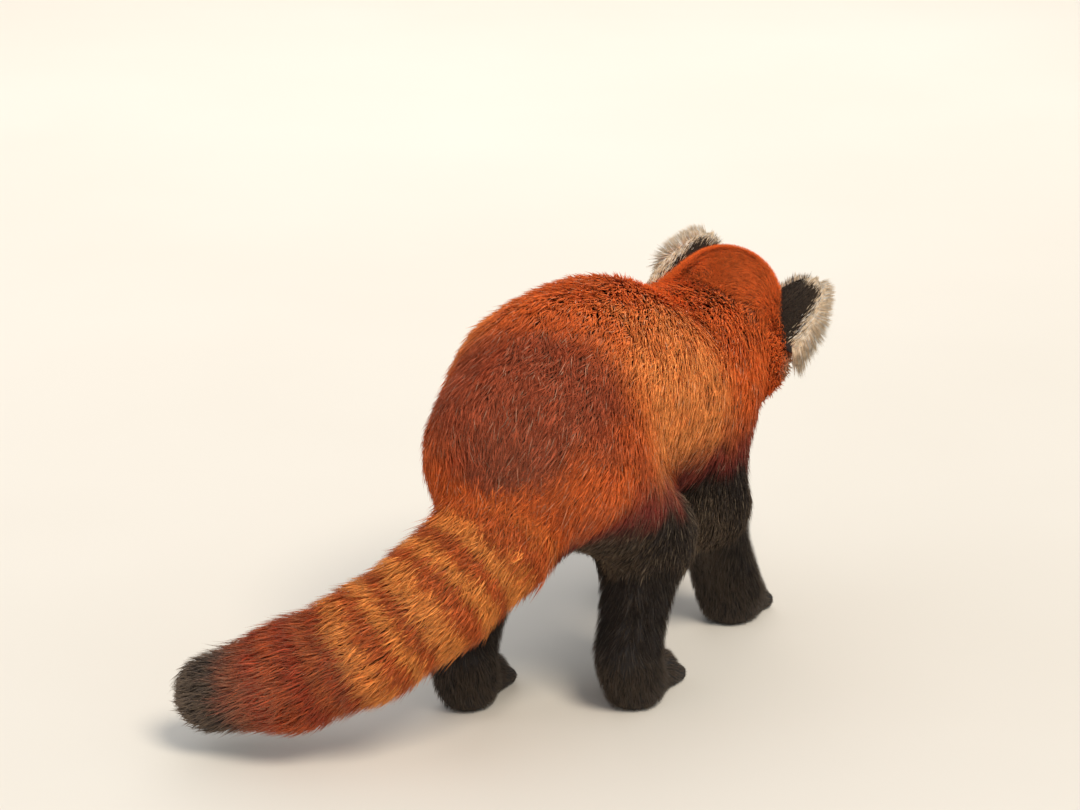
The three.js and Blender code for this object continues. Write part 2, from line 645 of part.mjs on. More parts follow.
// An ear: a tall cup, round at its top, with its outer edge lowest. The left one is swivelled outwards to listen.
const EAR_HALF = 26;
const EAR_HEIGHT = 52;
const EAR_LEAN = -13;
const EAR_CUP = 12;
const EAR_SWIVELS = { left: 55, right: -8 };
const EAR_ROWS = [-0.25, 0, 0.18, 0.36, 0.54, 0.7, 0.84, 0.94, 1];
const EAR_ACROSS = [-1, -0.7, -0.35, 0, 0.35, 0.7, 1];
function ear(side, swivel) {
  const rings = EAR_ROWS.map((t) => {
    const rise = Math.max(t, 0);
    const half = EAR_HALF * Math.sqrt(Math.max(0.03, 1 - rise ** 2.2));
    const depth = 2 + EAR_CUP * (1 - rise ** 2);
    const row = (u, thick) => {
      const spot = vec(half * u, depth * (1 - u * u) - thick * (1.4 + 2.2 * (1 - u * u)), 0);
      spot.applyAxisAngle(vec(0, 0, 1), radians(swivel));
      const foot = EAR_ROOT.z + EAR_HEIGHT * t - 6 * u * side * (1 - rise);
      return inHead(side * EAR_ROOT.x + EAR_LEAN * t + spot.x, EAR_ROOT.y + spot.y, foot);
    };
    return [...EAR_ACROSS.map((u) => row(u, 1)), ...EAR_ACROSS.slice().reverse().map((u) => row(u, 0))];
  });
  return solid(new LoftGeometry(rings, { closed: true, capStart: true, capEnd: true }));
}

const HEAD_CELL = 10.5;
const headLow = vec(-170, -350, 130);
const headHigh = vec(70, -130, 350);
const eyes = { left: eyePlace(1), right: eyePlace(-1) };
const bare = bodyPiece(WHOLE, HEAD_CELL, headLow, headHigh, [HEAD_SIDE]);
const mouth = mouthPoints(0, TIPS);
const lip = mouthPoints(-2.6, TIPS);
const philtrum = [noseTip, mouth[3]];
let headSolid = joined([bare, lids(eyes.left), lids(eyes.right), tube(lip, LIP, 6, 8)]);
headSolid = headSolid.subtract(tube(mouth, GROOVE, 4, 12)).subtract(tube(philtrum, GROOVE * 0.8, 4, 2));
for (const { at } of Object.values(eyes)) headSolid = headSolid.subtract(eyeBall(at, EYE_RADIUS + GAP));
headSolid = headSolid.subtract(nosePad(GAP));
addNode('head', headSolid, COLOURS.coat);
addNode('nose', nosePad(0).subtract(nostril(1)).subtract(nostril(-1)), COLOURS.nose, 0.35);
const headRoom = solid(netted((p) => WHOLE(p, CORE) - GAP, headLow, headHigh, HEAD_CELL));
for (const [name, side] of [['left', 1], ['right', -1]]) {
  addNode(`eye_${name}`, eyeBall(eyes[name].at, EYE_RADIUS), COLOURS.eye, 0.1);
  addNode(`ear_${name}`, ear(side, EAR_SWIVELS[name]).subtract(headRoom), COLOURS.ear);
}

// The origin is set at the middle of the body's box, on the floor.
const box = new THREE.Box3().setFromObject(root);
const middle = box.getCenter(vec(0, 0, 0));
root.position.set(-middle.x, -middle.y, -box.min.z);
root.updateMatrixWorld(true);

export default root;
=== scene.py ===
# %% [markdown]
# # A red panda, walking away
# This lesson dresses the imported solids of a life-size red panda as a museum model: one skin under a coat of
# many thousand thin tufts, with eyes, nose, ears, claws and whiskers of their own. The solids already hold
# the true size and pose, so everything here is placed by the same named sizes, in millimetres.

# %% Load the solids and measure them
import math

import bpy
import numpy as np
from mathutils import Matrix, Vector
from mathutils.kdtree import KDTree


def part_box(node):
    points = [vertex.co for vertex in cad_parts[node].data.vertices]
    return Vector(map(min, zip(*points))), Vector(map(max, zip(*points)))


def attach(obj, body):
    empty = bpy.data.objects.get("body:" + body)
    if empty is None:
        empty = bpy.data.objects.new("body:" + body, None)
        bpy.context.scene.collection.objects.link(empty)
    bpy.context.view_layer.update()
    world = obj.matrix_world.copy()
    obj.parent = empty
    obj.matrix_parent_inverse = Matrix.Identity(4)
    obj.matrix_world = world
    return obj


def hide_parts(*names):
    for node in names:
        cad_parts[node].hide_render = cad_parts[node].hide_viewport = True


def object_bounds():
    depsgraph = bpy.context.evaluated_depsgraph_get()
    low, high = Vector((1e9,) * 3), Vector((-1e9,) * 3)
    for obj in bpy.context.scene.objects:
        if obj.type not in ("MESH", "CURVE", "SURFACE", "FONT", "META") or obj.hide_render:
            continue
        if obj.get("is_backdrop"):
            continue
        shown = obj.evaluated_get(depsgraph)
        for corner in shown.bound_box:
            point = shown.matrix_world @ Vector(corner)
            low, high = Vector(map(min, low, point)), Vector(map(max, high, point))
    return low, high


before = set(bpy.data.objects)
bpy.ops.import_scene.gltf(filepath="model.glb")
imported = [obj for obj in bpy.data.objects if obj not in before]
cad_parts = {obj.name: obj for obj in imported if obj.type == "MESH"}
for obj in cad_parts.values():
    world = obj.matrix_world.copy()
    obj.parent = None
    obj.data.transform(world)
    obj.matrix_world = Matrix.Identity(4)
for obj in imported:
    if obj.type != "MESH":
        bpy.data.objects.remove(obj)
bpy.ops.object.select_all(action="DESELECT")
cad_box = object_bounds()
print("solids:", len(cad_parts), "box", [round(x, 3) for x in (cad_box[1] - cad_box[0])])

# %% [markdown]
# The sizes below are in the animal's own frame: it faces -Y, +X is its left, and the floor is at zero. The
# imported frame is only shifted, and the left eye, whose place is known in both, gives that shift.

# %% The shift between the two frames
LEFT_EYE = np.array((-19.01, -275.30, 247.16))
RIGHT_EYE = np.array((-86.02, -266.97, 228.45))
NOSE_TIP = np.array((-46.14, -296.08, 203.86))
eye_low, eye_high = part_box("eye_left")
SHIFT = np.array((eye_low + eye_high) / 2) * 1000 - LEFT_EYE


def to_row(points):
    """Millimetres in the animal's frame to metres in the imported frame."""
    return (np.asarray(points, float) + SHIFT) / 1000


def to_animal(points):
    return np.asarray(points, float) * 1000 - SHIFT


print("shift in mm", SHIFT.round(2))

# %% [markdown]
# The photograph was taken from behind, a little to the animal's right and from above. A long lens keeps the
# body's near and far ends in proportion, so the camera stands 3.4 m away.

# %% Camera
AZIMUTH, ELEVATION, DISTANCE = 200, 18, 3.4
FOCAL = 130.7
AIMED_AT = (36, 20, 239)


def way_to(azimuth, elevation):
    """The direction from the animal to a place that looks at it from these angles in degrees."""
    a, e = math.radians(azimuth), math.radians(elevation)
    return Vector((math.sin(a) * math.cos(e), -math.cos(a) * math.cos(e), math.sin(e)))


aim = Vector(to_row(AIMED_AT))
away = way_to(AZIMUTH, ELEVATION)
turn = (-away).to_track_quat("-Z", "Y").to_euler()
bpy.ops.object.camera_add(location=aim + away * DISTANCE, rotation=turn)
camera = bpy.context.object
camera.data.lens = FOCAL
camera.data.clip_start, camera.data.clip_end = 0.1, 60
bpy.context.scene.camera = camera
print("camera at", [round(x, 3) for x in camera.location])

# %% [markdown]
# A material here is a small graph of nodes. One function adds a node with its settings and links, and one
# turns an sRGB hex colour into the linear values that Blender works in.

# %% Colours and nodes


def linear(hex_colour):
    """An sRGB hex value as three linear numbers."""
    parts = [int(hex_colour[k:k + 2], 16) / 255 for k in (1, 3, 5)]
    return np.array([c / 12.92 if c <= 0.04045 else ((c + 0.055) / 1.055) ** 2.4 for c in parts])


def node(tree, kind, inputs, **settings):
    """Adds a node. An input is a plain value, or a socket of another node to link.

    A mix of two colours takes them at its inputs 6 and 7, which share their names with others, and gives the
    result at its output 2.
    """
    made = tree.nodes.new(kind)
    for name, value in settings.items():
        setattr(made, name, value)
    for name, value in inputs.items():
        if isinstance(value, bpy.types.NodeSocket):
            tree.links.new(value, made.inputs[name])
        else:
            made.inputs[name].default_value = value
    return made


def new_material(name):
    material = bpy.data.materials.new(name)
    material.use_nodes = True
    material.node_tree.nodes.clear()
    return material, material.node_tree


def surface(tree, inputs):
    """The principled shader and the output of a material."""
    shader = node(tree, "ShaderNodeBsdfPrincipled", inputs)
    node(tree, "ShaderNodeOutputMaterial", {"Surface": shader.outputs["BSDF"]})


def rgba(hex_colour):
    return (*linear(hex_colour), 1.0)


# %% [markdown]
# A plain pale floor and soft light show the coat without strong shadows. The key is a broad sun, high on the
# camera's right, which lights the whole floor evenly. Two weak lamps fill the far side and the face, and the
# sky is pale grey.

# %% Floor
bpy.ops.mesh.primitive_plane_add(size=60, location=(0, 0, 0))
floor = bpy.context.object
floor.name = "floor"
paint, tree = new_material("matt_painted_floor")
place = node(tree, "ShaderNodeTexCoord", {})
cloud = node(tree, "ShaderNodeTexNoise", {"Vector": place.outputs["Object"], "Scale": 1.5, "Detail": 3.0})
tone = node(tree, "ShaderNodeMix", {
    "Factor": cloud.outputs["Fac"], 6: rgba("#d9d4ca"), 7: rgba("#e2ded6")}, data_type="RGBA")
surface(tree, {"Base Color": tone.outputs[2], "Roughness": 0.8})
floor.data.materials.append(paint)
floor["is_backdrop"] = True

# %% Lamps and sky


def lamp(name, azimuth, elevation, distance, size, power, colour):
    place = aim + way_to(azimuth, elevation) * distance
    turn = (aim - place).to_track_quat("-Z", "Y").to_euler()
    bpy.ops.object.light_add(type="AREA", radius=size, location=place, rotation=turn)
    made = bpy.context.object
    made.name = name
    made.data.energy = power
    made.data.color = linear(colour)


bpy.ops.object.light_add(type="SUN", rotation=(-way_to(232, 52)).to_track_quat("-Z", "Y").to_euler())
sun = bpy.context.object
sun.name = "key"
sun.data.energy, sun.data.angle, sun.data.color = 2.3, math.radians(24), linear("#fff3e2")
lamp("fill", 130, 35, 3.0, 2.4, 12, "#eef3ff")
lamp("front", 20, 30, 3.0, 2.0, 16, "#fff8f0")
world = bpy.data.worlds.new("pale_sky")
world.use_nodes = True
world.node_tree.nodes.clear()
sky = node(world.node_tree, "ShaderNodeBackground", {"Color": rgba("#eef0f2"), "Strength": 0.7})
node(world.node_tree, "ShaderNodeOutputWorld", {"Surface": sky.outputs["Background"]})
bpy.context.scene.world = world
bpy.context.scene.view_settings.view_transform = "Standard"
print("lamps and sky made")

# %% [markdown]
# The body is made of round masses that melt into one another, as a sculptor builds it from clay balls and
# rolls. A mass is a field: a formula that is negative inside it and gives the distance to its surface. The
# same masses shaped the solids. Level 0 is the skin that is drawn here, and level 1 is where the tips of the
# hair reach.

# %% Masses as fields


def unit(vectors):
    return vectors / np.maximum(np.linalg.norm(vectors, axis=1), 1e-9)[:, None]


def limb(start, end, radii, growth):
    """A round cone between two points. growth is added to its radii, at the skin and at the tips."""
    start, end = np.array(start, float), np.array(end, float)
    length = np.linalg.norm(end - start)
    axis = (end - start) / length
    slope = (radii[0] - radii[1]) / length
    rise = math.sqrt(1 - slope * slope)

    def field(points, level):
        off = points - start
        along = off @ axis
        across = np.sqrt(np.maximum(0, (off ** 2).sum(1) - along ** 2))
        at = np.clip((along + across * slope / rise) / length, 0, 1)
        radius = radii[0] + (radii[1] - radii[0]) * at + growth[0] + (growth[1] - growth[0]) * level
        return np.hypot(across, along - at * length) - radius

    field.balls = [(start, radii[0] + growth[0]), (end, radii[1] + growth[0])]
    return field


HEAD_AT = np.array((-50, -228, 248))
HEAD_TURN = np.array(Matrix.Rotation(math.radians(24), 3, "X") @ Matrix.Rotation(math.radians(-17), 3, "Y"))


def in_head(x, y, z):
    return HEAD_TURN @ np.array((x, y, z), float) + HEAD_AT


def head_way(x, y, z):
    way = HEAD_TURN @ np.array((x, y, z), float)
    return way / np.linalg.norm(way)


def head_place(points):
    """Where points of the animal's frame lie in the head's own frame, which faces -Y too."""
    return (points - HEAD_AT) @ HEAD_TURN


def lump(centre, halves, growth):
    """An ellipsoid in the head's own frame."""
    centre, halves = np.array(centre, float), np.array(halves, float)

    def field(points, level):
        grown = halves + (growth[0] + (growth[1] - growth[0]) * np.asarray(level, float))[..., None]
        off = head_place(points) - centre
        near = np.sqrt(((off / grown) ** 2).sum(1))
        return near * (near - 1) / np.maximum(np.sqrt(((off / grown ** 2) ** 2).sum(1)), 1e-9)

    field.lump = (centre, halves + growth[0])
    return field


def melt(fields, blend):
    """Masses joined with a soft fillet."""

    def field(points, level):
        found = fields[0](points, level)
        for other in fields[1:]:
            value = other(points, level)
            share = np.maximum(blend - np.abs(found - value), 0) / blend
            found = np.minimum(found, value) - share * share * blend / 4
        return found

    return field


# %% [markdown]
# Each mass has two growths past its own radii: where this skin lies, and where the hair ends. On the back,
# neck, cheeks and tail the hair stands about 13 to 16 mm off the skin, on the face and feet only 1 to 4 mm.

# %% The trunk, neck and tail
BACK_COAT, BELLY_COAT, TAIL_COAT, HIP_COAT = (11, 24), (8, 18), (13, 29), (7.5, 16.8)
RUMP, LOIN, BACK = (5, 128, 236), (4, 60, 256), (-6, -10, 252)
CHEST, WITHERS, NECK = (-22, -85, 226), (-34, -128, 228), (-46, -184, 242)
SPINE = np.array((RUMP, LOIN, BACK, CHEST, WITHERS, NECK), float)
trunk_masses = [
    limb(RUMP, LOIN, (65, 67), BACK_COAT),
    limb(LOIN, BACK, (67, 68), BACK_COAT),
    limb(BACK, CHEST, (68, 64), BACK_COAT),
    limb(CHEST, WITHERS, (64, 56), BACK_COAT),
]
belly_mass = limb((0, 60, 215), (-16, -60, 205), (52, 56), BELLY_COAT)
neck_mass = limb(WITHERS, NECK, (52, 46), BACK_COAT)
TAIL_STEPS = np.array((
    (0, 140, 222), (11.8, 193.7, 178.9), (46.9, 238.9, 139.1),
    (95.7, 272.9, 102.5), (155.5, 293.2, 72.8), (222, 300, 52)))
TAIL_RADII = (28, 22, 20, 20, 18, 8)
tail_masses = [limb(TAIL_STEPS[k], TAIL_STEPS[k + 1], TAIL_RADII[k:k + 2], TAIL_COAT) for k in range(5)]
TAIL_LENGTH = 360
print("tail length in mm", round(float(np.linalg.norm(np.diff(TAIL_STEPS, axis=0), axis=1).sum())))

# %% The legs: root, knee or elbow, ankle or wrist, heel of the paw, ball of the paw
LEGS = {
    "hind_right": ((-38, 112, 215), (-68, 40, 140), (-72, 98, 50), (-73, 84, 20), (-76, 36, 15)),
    "hind_left": ((36, 122, 215), (60, 84, 135), (60, 150, 52), (60, 138, 22), (60, 94, 15)),
    "fore_right": ((-60, -115, 200), (-78, -92, 130), (-86, -134, 46), (-90, -140, 20), (-94, -164, 16)),
    "fore_left": ((8, -130, 200), (24, -118, 128), (20, -185, 48), (19, -194, 20), (16, -218, 16)),
}
HIND_RADII, FORE_RADII = (46, 27, 17, 18, 17), (40, 25, 18, 19, 18)
LEG_COATS = (HIP_COAT, (7, 11), (3.2, 6.6), (2.6, 5))
thigh_masses, shank_masses, foot_masses, leg_fields = [], [], [], []
for name, points in LEGS.items():
    radii = HIND_RADII if name.startswith("hind") else FORE_RADII
    four = [limb(points[k], points[k + 1], radii[k:k + 2], LEG_COATS[k]) for k in range(4)]
    thigh_masses.append(four[0])
    shank_masses.append(four[1])
    foot_masses.extend(four[2:])
    leg_fields.append(melt(four, 18))

# %% The toes, four to a paw
TOES = (-1.5, -0.5, 0.5, 1.5)
TOE_SPACING, TOE_HEIGHT, TOE_LENGTH, TOE_DROP = 9, 10.5, 13, 3


def toe_line(points, place):
    """The two ends of a toe and the way that it points, flat along the floor."""
    heel, ball = np.array(points[3], float), np.array(points[4], float)
    ahead = (ball - heel) * (1, 1, 0)
    ahead = ahead / np.linalg.norm(ahead)
    aside = np.array((-ahead[1], ahead[0], 0))
    start = (ball + aside * place * TOE_SPACING) * (1, 1, 0) + (0, 0, TOE_HEIGHT)
    start = start + ahead * (6 - 2 * abs(place))
    end = start + ahead * TOE_LENGTH + aside * place * 1.5 - (0, 0, TOE_DROP)
    return start, end, ahead


toe_masses = []
for points in LEGS.values():
    for place in TOES:
        start, end, _ = toe_line(points, place)
        toe_masses.append(limb(start, end, (7.5, 6.5), (0.8, 2)))

# %% The head: a broad round skull, full cheeks and a short muzzle
skull_masses = [
    lump((0, 10, 12), (47, 50, 44), (4, 8)),
    lump((0, 22, 32), (40, 38, 35), (4, 8)),
    lump((0, -20, 18), (30, 24, 18), (4.5, 8)),
]
cheek_masses = [lump((side * 34, 0, -12), (18, 26, 22), (10, 24)) for side in (1, -1)]
brow_masses = [lump((side * 24, -30, 4), (13, 12, 12), (1.5, 4)) for side in (1, -1)]
muzzle_masses = [
    limb(in_head(0, -32, -6), in_head(0, -64, -14), (23, 13), (1.2, 3)),
    limb(in_head(0, -28, -24), in_head(0, -60, -26), (13, 8), (0.6, 2)),
]
pad_masses = [lump((side * 9, -65, -17), (10, 12, 9), (0.6, 2)) for side in (1, -1)]
head_field = melt([melt(skull_masses + cheek_masses + brow_masses + muzzle_masses, 14)] + pad_masses, 6)
trunk_field = melt(trunk_masses + [belly_mass], 30)
body = melt([trunk_field, neck_mass, melt(tail_masses, 20), head_field] + leg_fields, 22)
whole = melt([body] + toe_masses, 6)
print("head of", len(skull_masses + cheek_masses + brow_masses + muzzle_masses + pad_masses), "masses")

# %% [markdown]
# To draw points onto the surface of a level, each is moved back along the steepest way of the field by the
# field's value, a few times over.

# %% Move points onto a level
SLOPE_STEP = 0.8


def steepest(points, level):
    """The field at each point and the way in which it rises most, from a small step along each axis."""
    here = whole(points, level)
    slope = np.stack([whole(points + step, level) - here for step in np.eye(3) * SLOPE_STEP], 1)
    return here, unit(slope)


def settle(points, level, times=3):
    for _ in range(times):
        here, way = steepest(points, level)
        points = points - way * here[:, None]
    return points


def surface_along(start, way, level):
    """Where a ray from inside the head leaves a level."""
    reach = np.arange(0, 120, 0.1)
    spots = start + reach[:, None] * way
    outside = head_field(spots, np.float64(level)) > 0
    return spots[np.argmax(outside)]


print("nose tip off by mm", np.linalg.norm(
    surface_along(in_head(0, -40, -10), head_way(0, -1, -0.08), 1.0) - NOSE_TIP).round(2))

# %% [markdown]
# The skin starts as balls and cones at the masses' places, all in one mesh. A voxel remesh fuses them into
# one closed surface with even faces, and the vertices are then drawn onto the melted field, which fills the
# creases.

# %% Balls and cones
bpy.ops.mesh.primitive_uv_sphere_add(segments=24, ring_count=12, radius=0.07, location=to_row(RUMP))
skin = bpy.context.object
skin.name = "skin"
bpy.ops.object.mode_set(mode="EDIT")
limbs = trunk_masses + [belly_mass, neck_mass] + tail_masses + thigh_masses + shank_masses + foot_masses
for mass in limbs + toe_masses + muzzle_masses:
    (start, r0), (end, r1) = mass.balls
    for place, radius in mass.balls:
        bpy.ops.mesh.primitive_uv_sphere_add(
            segments=20, ring_count=10, radius=radius / 1000, location=to_row(place))
    axis = Vector(end - start)
    bpy.ops.mesh.primitive_cone_add(
        vertices=24, radius1=r0 / 1000, radius2=r1 / 1000, depth=axis.length / 1000,
        location=to_row((start + end) / 2), rotation=axis.to_track_quat("Z", "Y").to_euler())
head_euler = Matrix(HEAD_TURN).to_euler()
for mass in skull_masses + cheek_masses + brow_masses + pad_masses:
    centre, halves = mass.lump
    bpy.ops.mesh.primitive_uv_sphere_add(
        segments=24, ring_count=12, radius=0.001, location=to_row(in_head(*centre)), rotation=head_euler,
        scale=tuple(halves))
bpy.ops.object.mode_set(mode="OBJECT")
bpy.ops.object.transform_apply(location=True, rotation=True, scale=True)
print("rough skin", len(skin.data.vertices), "vertices")

# %% Fuse and draw onto the field
VOXEL = 0.0038
FLOOR_GAP = 0.4


def apply_modifier(obj, kind, settings):
    modifier = obj.modifiers.new(kind.lower(), kind)
    for name, value in settings.items():
        setattr(modifier, name, value)
    bpy.context.view_layer.objects.active = obj
    bpy.ops.object.modifier_apply(modifier=modifier.name)


def read(items, name, width, kind=float):
    """One property of all the items of a mesh, as rows of an array."""
    values = np.zeros(len(items) * width, kind)
    items.foreach_get(name, values)
    return values.reshape(-1, width)


def get_places(obj):
    return to_animal(read(obj.data.vertices, "co", 3))


def set_places(obj, places):
    obj.data.vertices.foreach_set("co", to_row(places).ravel())
    obj.data.update()


def raw_places(obj):
    """The vertices of a new primitive as it stands at the origin, in millimetres."""
    return np.array([v.co for v in obj.data.vertices]) * 1000


def shade_smooth(obj):
    obj.data.polygons.foreach_set("use_smooth", np.ones(len(obj.data.polygons), bool))


def edit_whole(operator, **settings):
    """Runs one operator in edit mode on the whole of the active mesh."""
    bpy.ops.object.mode_set(mode="EDIT")
    bpy.ops.mesh.select_all(action="SELECT")
    operator(**settings)
    bpy.ops.object.mode_set(mode="OBJECT")


apply_modifier(skin, "REMESH", {"mode": "VOXEL", "voxel_size": VOXEL})
places = settle(get_places(skin), 0.0, 5)
places[:, 2] = np.maximum(places[:, 2], FLOOR_GAP)
set_places(skin, places)
print("skin", len(skin.data.vertices), "vertices")

# %% [markdown]
# The face needs finer faces than the back. Those of the face are selected by their place and divided, and
# then its folds are made: the mouth's line and the groove up to the nose are pressed in, and the lower lip
# and the rims of the eyes are raised.

# %% Finer faces on the face
across, ahead, above = head_place(to_animal(read(skin.data.polygons, "center", 3))).T
on_face = (ahead < -16) & (above < 26) & (above > -52) & (np.abs(across) < 44)
skin.data.polygons.foreach_set("select", on_face)
bpy.context.view_layer.objects.active = skin
skin.select_set(True)
bpy.context.tool_settings.mesh_select_mode = (False, False, True)
bpy.ops.object.mode_set(mode="EDIT")
bpy.ops.mesh.subdivide(number_cuts=2)
bpy.ops.object.mode_set(mode="OBJECT")
print("with the face", len(skin.data.vertices), "vertices")

# %% Mouth and eye rims
GROOVE_WIDTH, GROOVE_DEPTH = 2.0, 2.0
PHILTRUM_WIDTH, PHILTRUM_SHARE = 1.6, 0.8
LIP_BELOW, LIP_WIDTH, LIP_SWELL = 3.4, 2.6, 0.7
RIM_REACH, RIM_FADE = 17, 6
EYES = {"left": LEFT_EYE, "right": RIGHT_EYE}
EYE_WAYS = {"left": head_way(0.5, -0.85, 0.12), "right": head_way(-0.5, -0.85, 0.12)}
EYE_RADIUS = 8
EYE_DEPTH = 4.6


def mouth_line():
    points = []
    for degrees in range(-78, 79, 6):
        far = abs(degrees) / 78
        start = in_head(0, -46 + 8 * far, -20 + 5 * far * far)
        way = head_way(math.sin(math.radians(degrees)), -math.cos(math.radians(degrees)), -0.12)
        points.append(surface_along(start, way, 0.3))
    return np.array(points)


def distance_to_line(points, line):
    """The least distance from points to a broken line."""
    best = np.full(len(points), 1e9)
    for a, b in zip(line[:-1], line[1:]):
        share = np.clip(((points - a) @ (b - a)) / ((b - a) @ (b - a)), 0, 1)
        best = np.minimum(best, np.linalg.norm(points - a - share[:, None] * (b - a), axis=1))
    return best


MOUTH = mouth_line()
PHILTRUM = np.array((NOSE_TIP, MOUTH[len(MOUTH) // 2]))
places = get_places(skin)
fine = head_place(places)[:, 1] < -14
face = settle(places[fine], 0.0, 3)
level = np.zeros(len(face))
for side, centre in EYES.items():
    rim = np.linalg.norm(face - centre - EYE_WAYS[side] * EYE_DEPTH, axis=1)
    level = np.maximum(level, np.clip((RIM_REACH - rim) / RIM_FADE, 0, 1))
face = settle(face, level, 3)
_, normal = steepest(face, 0.0)


def beside(line, width):
    """1 on a line of the face, falling to 0 at a width from it."""
    return np.clip(1 - distance_to_line(face, line) / width, 0, 1)


groove = np.maximum(beside(MOUTH, GROOVE_WIDTH), PHILTRUM_SHARE * beside(PHILTRUM, PHILTRUM_WIDTH))
lower_lip = beside(MOUTH - head_way(0, 0, 1) * LIP_BELOW, LIP_WIDTH)
face = face - normal * (groove * GROOVE_DEPTH - lower_lip * LIP_SWELL)[:, None]
places[fine] = face
places[:, 2] = np.maximum(places[:, 2], FLOOR_GAP)
set_places(skin, places)
shade_smooth(skin)
print("face shaped:", int(fine.sum()), "vertices")

# %% [markdown]
# The skin is unwrapped by its own shape. The coat uses this unwrap too: each tuft takes the place of its
# root.

# %% Unwrap
UNWRAP_ANGLE = math.radians(66)
edit_whole(bpy.ops.uv.smart_project, angle_limit=UNWRAP_ANGLE, island_margin=0.002)
print("unwrapped on", skin.data.uv_layers.active.name)

# %% [markdown]
# Which hair grows where is told by how near a point is to each group of masses. Soft shares rather than hard
# borders keep the length and the lie of the hair from jumping.

# %% Groups of the body
GROUPS = {
    "trunk": trunk_masses, "belly": [belly_mass], "neck": [neck_mass], "tail": tail_masses,
    "thigh": thigh_masses, "shank": shank_masses, "foot": foot_masses, "toe": toe_masses,
    "skull": skull_masses + brow_masses, "cheek": cheek_masses, "muzzle": muzzle_masses + pad_masses,
}
GROUP_NAMES = list(GROUPS)
SHARE_REACH = 6


def shares(points):
    """For each point, how much it belongs to each group. The shares add up to one."""
    near = np.stack([np.min([mass(points, 0.3) for mass in masses], axis=0) for masses in GROUPS.values()], 1)
    weight = np.exp(-(near - near.min(1, keepdims=True)) / SHARE_REACH)
    return weight / weight.sum(1, keepdims=True)


def share_of(weight, *names):
    return sum(weight[:, GROUP_NAMES.index(name)] for name in names)


# %% [markdown]
# The markings are one function of the place on the body, used by the skin and by every tuft. A red panda is
# deep orange-red above and black below, with a tail in light and rusty rings, a white face with reddish tear
# marks, and pale ears.

# %% Small helpers for soft borders


def ramp(low, high, value):
    """Goes smoothly from 0 at low to 1 at high."""
    t = np.clip((value - low) / (high - low), 0, 1)
    return t * t * (3 - 2 * t)


def blend(colours, other, share):
    return colours + (np.asarray(other) - colours) * np.asarray(share)[:, None]


def layered(ground, points, *layers):
    """A ground colour with layers over it, each a colour and its share at every point."""
    colours = np.tile(ground, (len(points), 1))
    for colour, share in layers:
        colours = blend(colours, colour, share)
    return colours


def ripples(points, size, seed):
    """A smooth wandering value between about -1 and 1, with bumps of a size in mm."""
    rng = np.random.default_rng(seed)
    total = np.zeros(len(points))
    for _ in range(5):
        way = rng.normal(size=3)
        way = way / np.linalg.norm(way) * 2 * math.pi / size * rng.uniform(0.6, 1.4)
        total += np.sin(points @ way + rng.uniform(0, 6.28))
    return total / 2.6


def spot(local, centre, halves):
    """1 in the middle of a soft oval patch of the face and 0 outside it, alike on both sides."""
    off = (np.abs(local * (1, 0, 0)) + local * (0, 1, 1) - np.array(centre)) / np.array(halves)
    return 1 - ramp(0.55, 1.1, np.linalg.norm(off, axis=1))


# %% Colours of the coat
# The lightest orange is painted sunlight, laid on both flanks.
SUNLIT_FLANK_ORANGE, DEEP, RUST = linear("#f49c54"), linear("#dd692c"), linear("#b54722")
# The saddle's red-brown is partly the rump's own colour and partly painted shade.
SADDLE_AND_SHADE, MAROON, BLACK = linear("#9a4832"), linear("#782728"), linear("#1d1817")
RING_LIGHT, RING_DARK, TAIL_END = linear("#f09648"), linear("#bb5122"), linear("#9e321b")
TAIL_TIP, WHITE, CREAM = linear("#453c38"), linear("#f8f2e8"), linear("#ecd4b4")
# The grey is partly grey hair and partly painted highlight on black fur.
TEAR, FOREHEAD, GREY_AND_HIGHLIGHT = linear("#a04a22"), linear("#d0702f"), linear("#77706d")


def tree_of(places):
    """A tree that finds the nearest of some places."""
    nearest = KDTree(len(places))
    for k, place in enumerate(places):
        nearest.insert(place, k)
    nearest.balance()
    return nearest


def tail_share(points):
    """How far along the tail each point is, from 0 at its root to 1 at its tip, and the tail's way there."""
    steps = np.linspace(0, 1, 61)
    line = np.stack([np.interp(steps, np.linspace(0, 1, 6), TAIL_STEPS[:, k]) for k in range(3)], 1)
    nearest = tree_of(line)
    found = np.array([nearest.find(p)[1] for p in points])
    along = unit(np.gradient(line, axis=0))
    past = ((points - line[found]) * along[found]).sum(1) / TAIL_LENGTH
    return np.clip(steps[found] + past, -0.2, 1.1), along[found]


# %% Markings of the trunk and legs
DARK_LINE = ((-230, 190), (-160, 176), (-40, 174), (60, 182), (118, 190), (150, 166), (185, 134))


def trunk_markings(points):
    y, z = points[:, 1], points[:, 2]
    order = np.argsort(SPINE[:, 1])
    centre_x = np.interp(y, SPINE[order, 1], SPINE[order, 0])
    centre_z = np.interp(y, SPINE[order, 1], SPINE[order, 2])
    down = np.degrees(np.arctan2(np.abs(points[:, 0] - centre_x), z - centre_z))
    wander = ripples(points, 60, 1)
    # Painted sunlight: a lighter, golden band along both flanks.
    painted_sunlit_flank = ramp(14, 58, down + 10 * wander) * ramp(-110, -40, y) * (1 - ramp(50, 120, y))
    # A darker red-brown saddle on the top of the rump, partly its own colour and partly painted shade.
    rump_saddle_and_shade = ramp(72, 122, y + 8 * wander) * (1 - ramp(52, 98, down + 10 * wander)) * ramp(176, 205, z)
    rusty = ramp(0.3, 1.3, ripples(points, 30, 2))
    border = np.interp(y, *np.array(DARK_LINE, float).T)
    over = z - border + 7 * ripples(points, 40, 3)
    return layered(
        DEEP, points, (SUNLIT_FLANK_ORANGE, painted_sunlit_flank * 0.9), (SADDLE_AND_SHADE, 0.85 * rump_saddle_and_shade), (RUST, 0.35 * rusty),
        (MAROON, (1 - ramp(0, 58, over)) * 0.95), (BLACK, 1 - ramp(-18, 8, over)))


# %% Markings of the tail and head
RINGS = 11.0


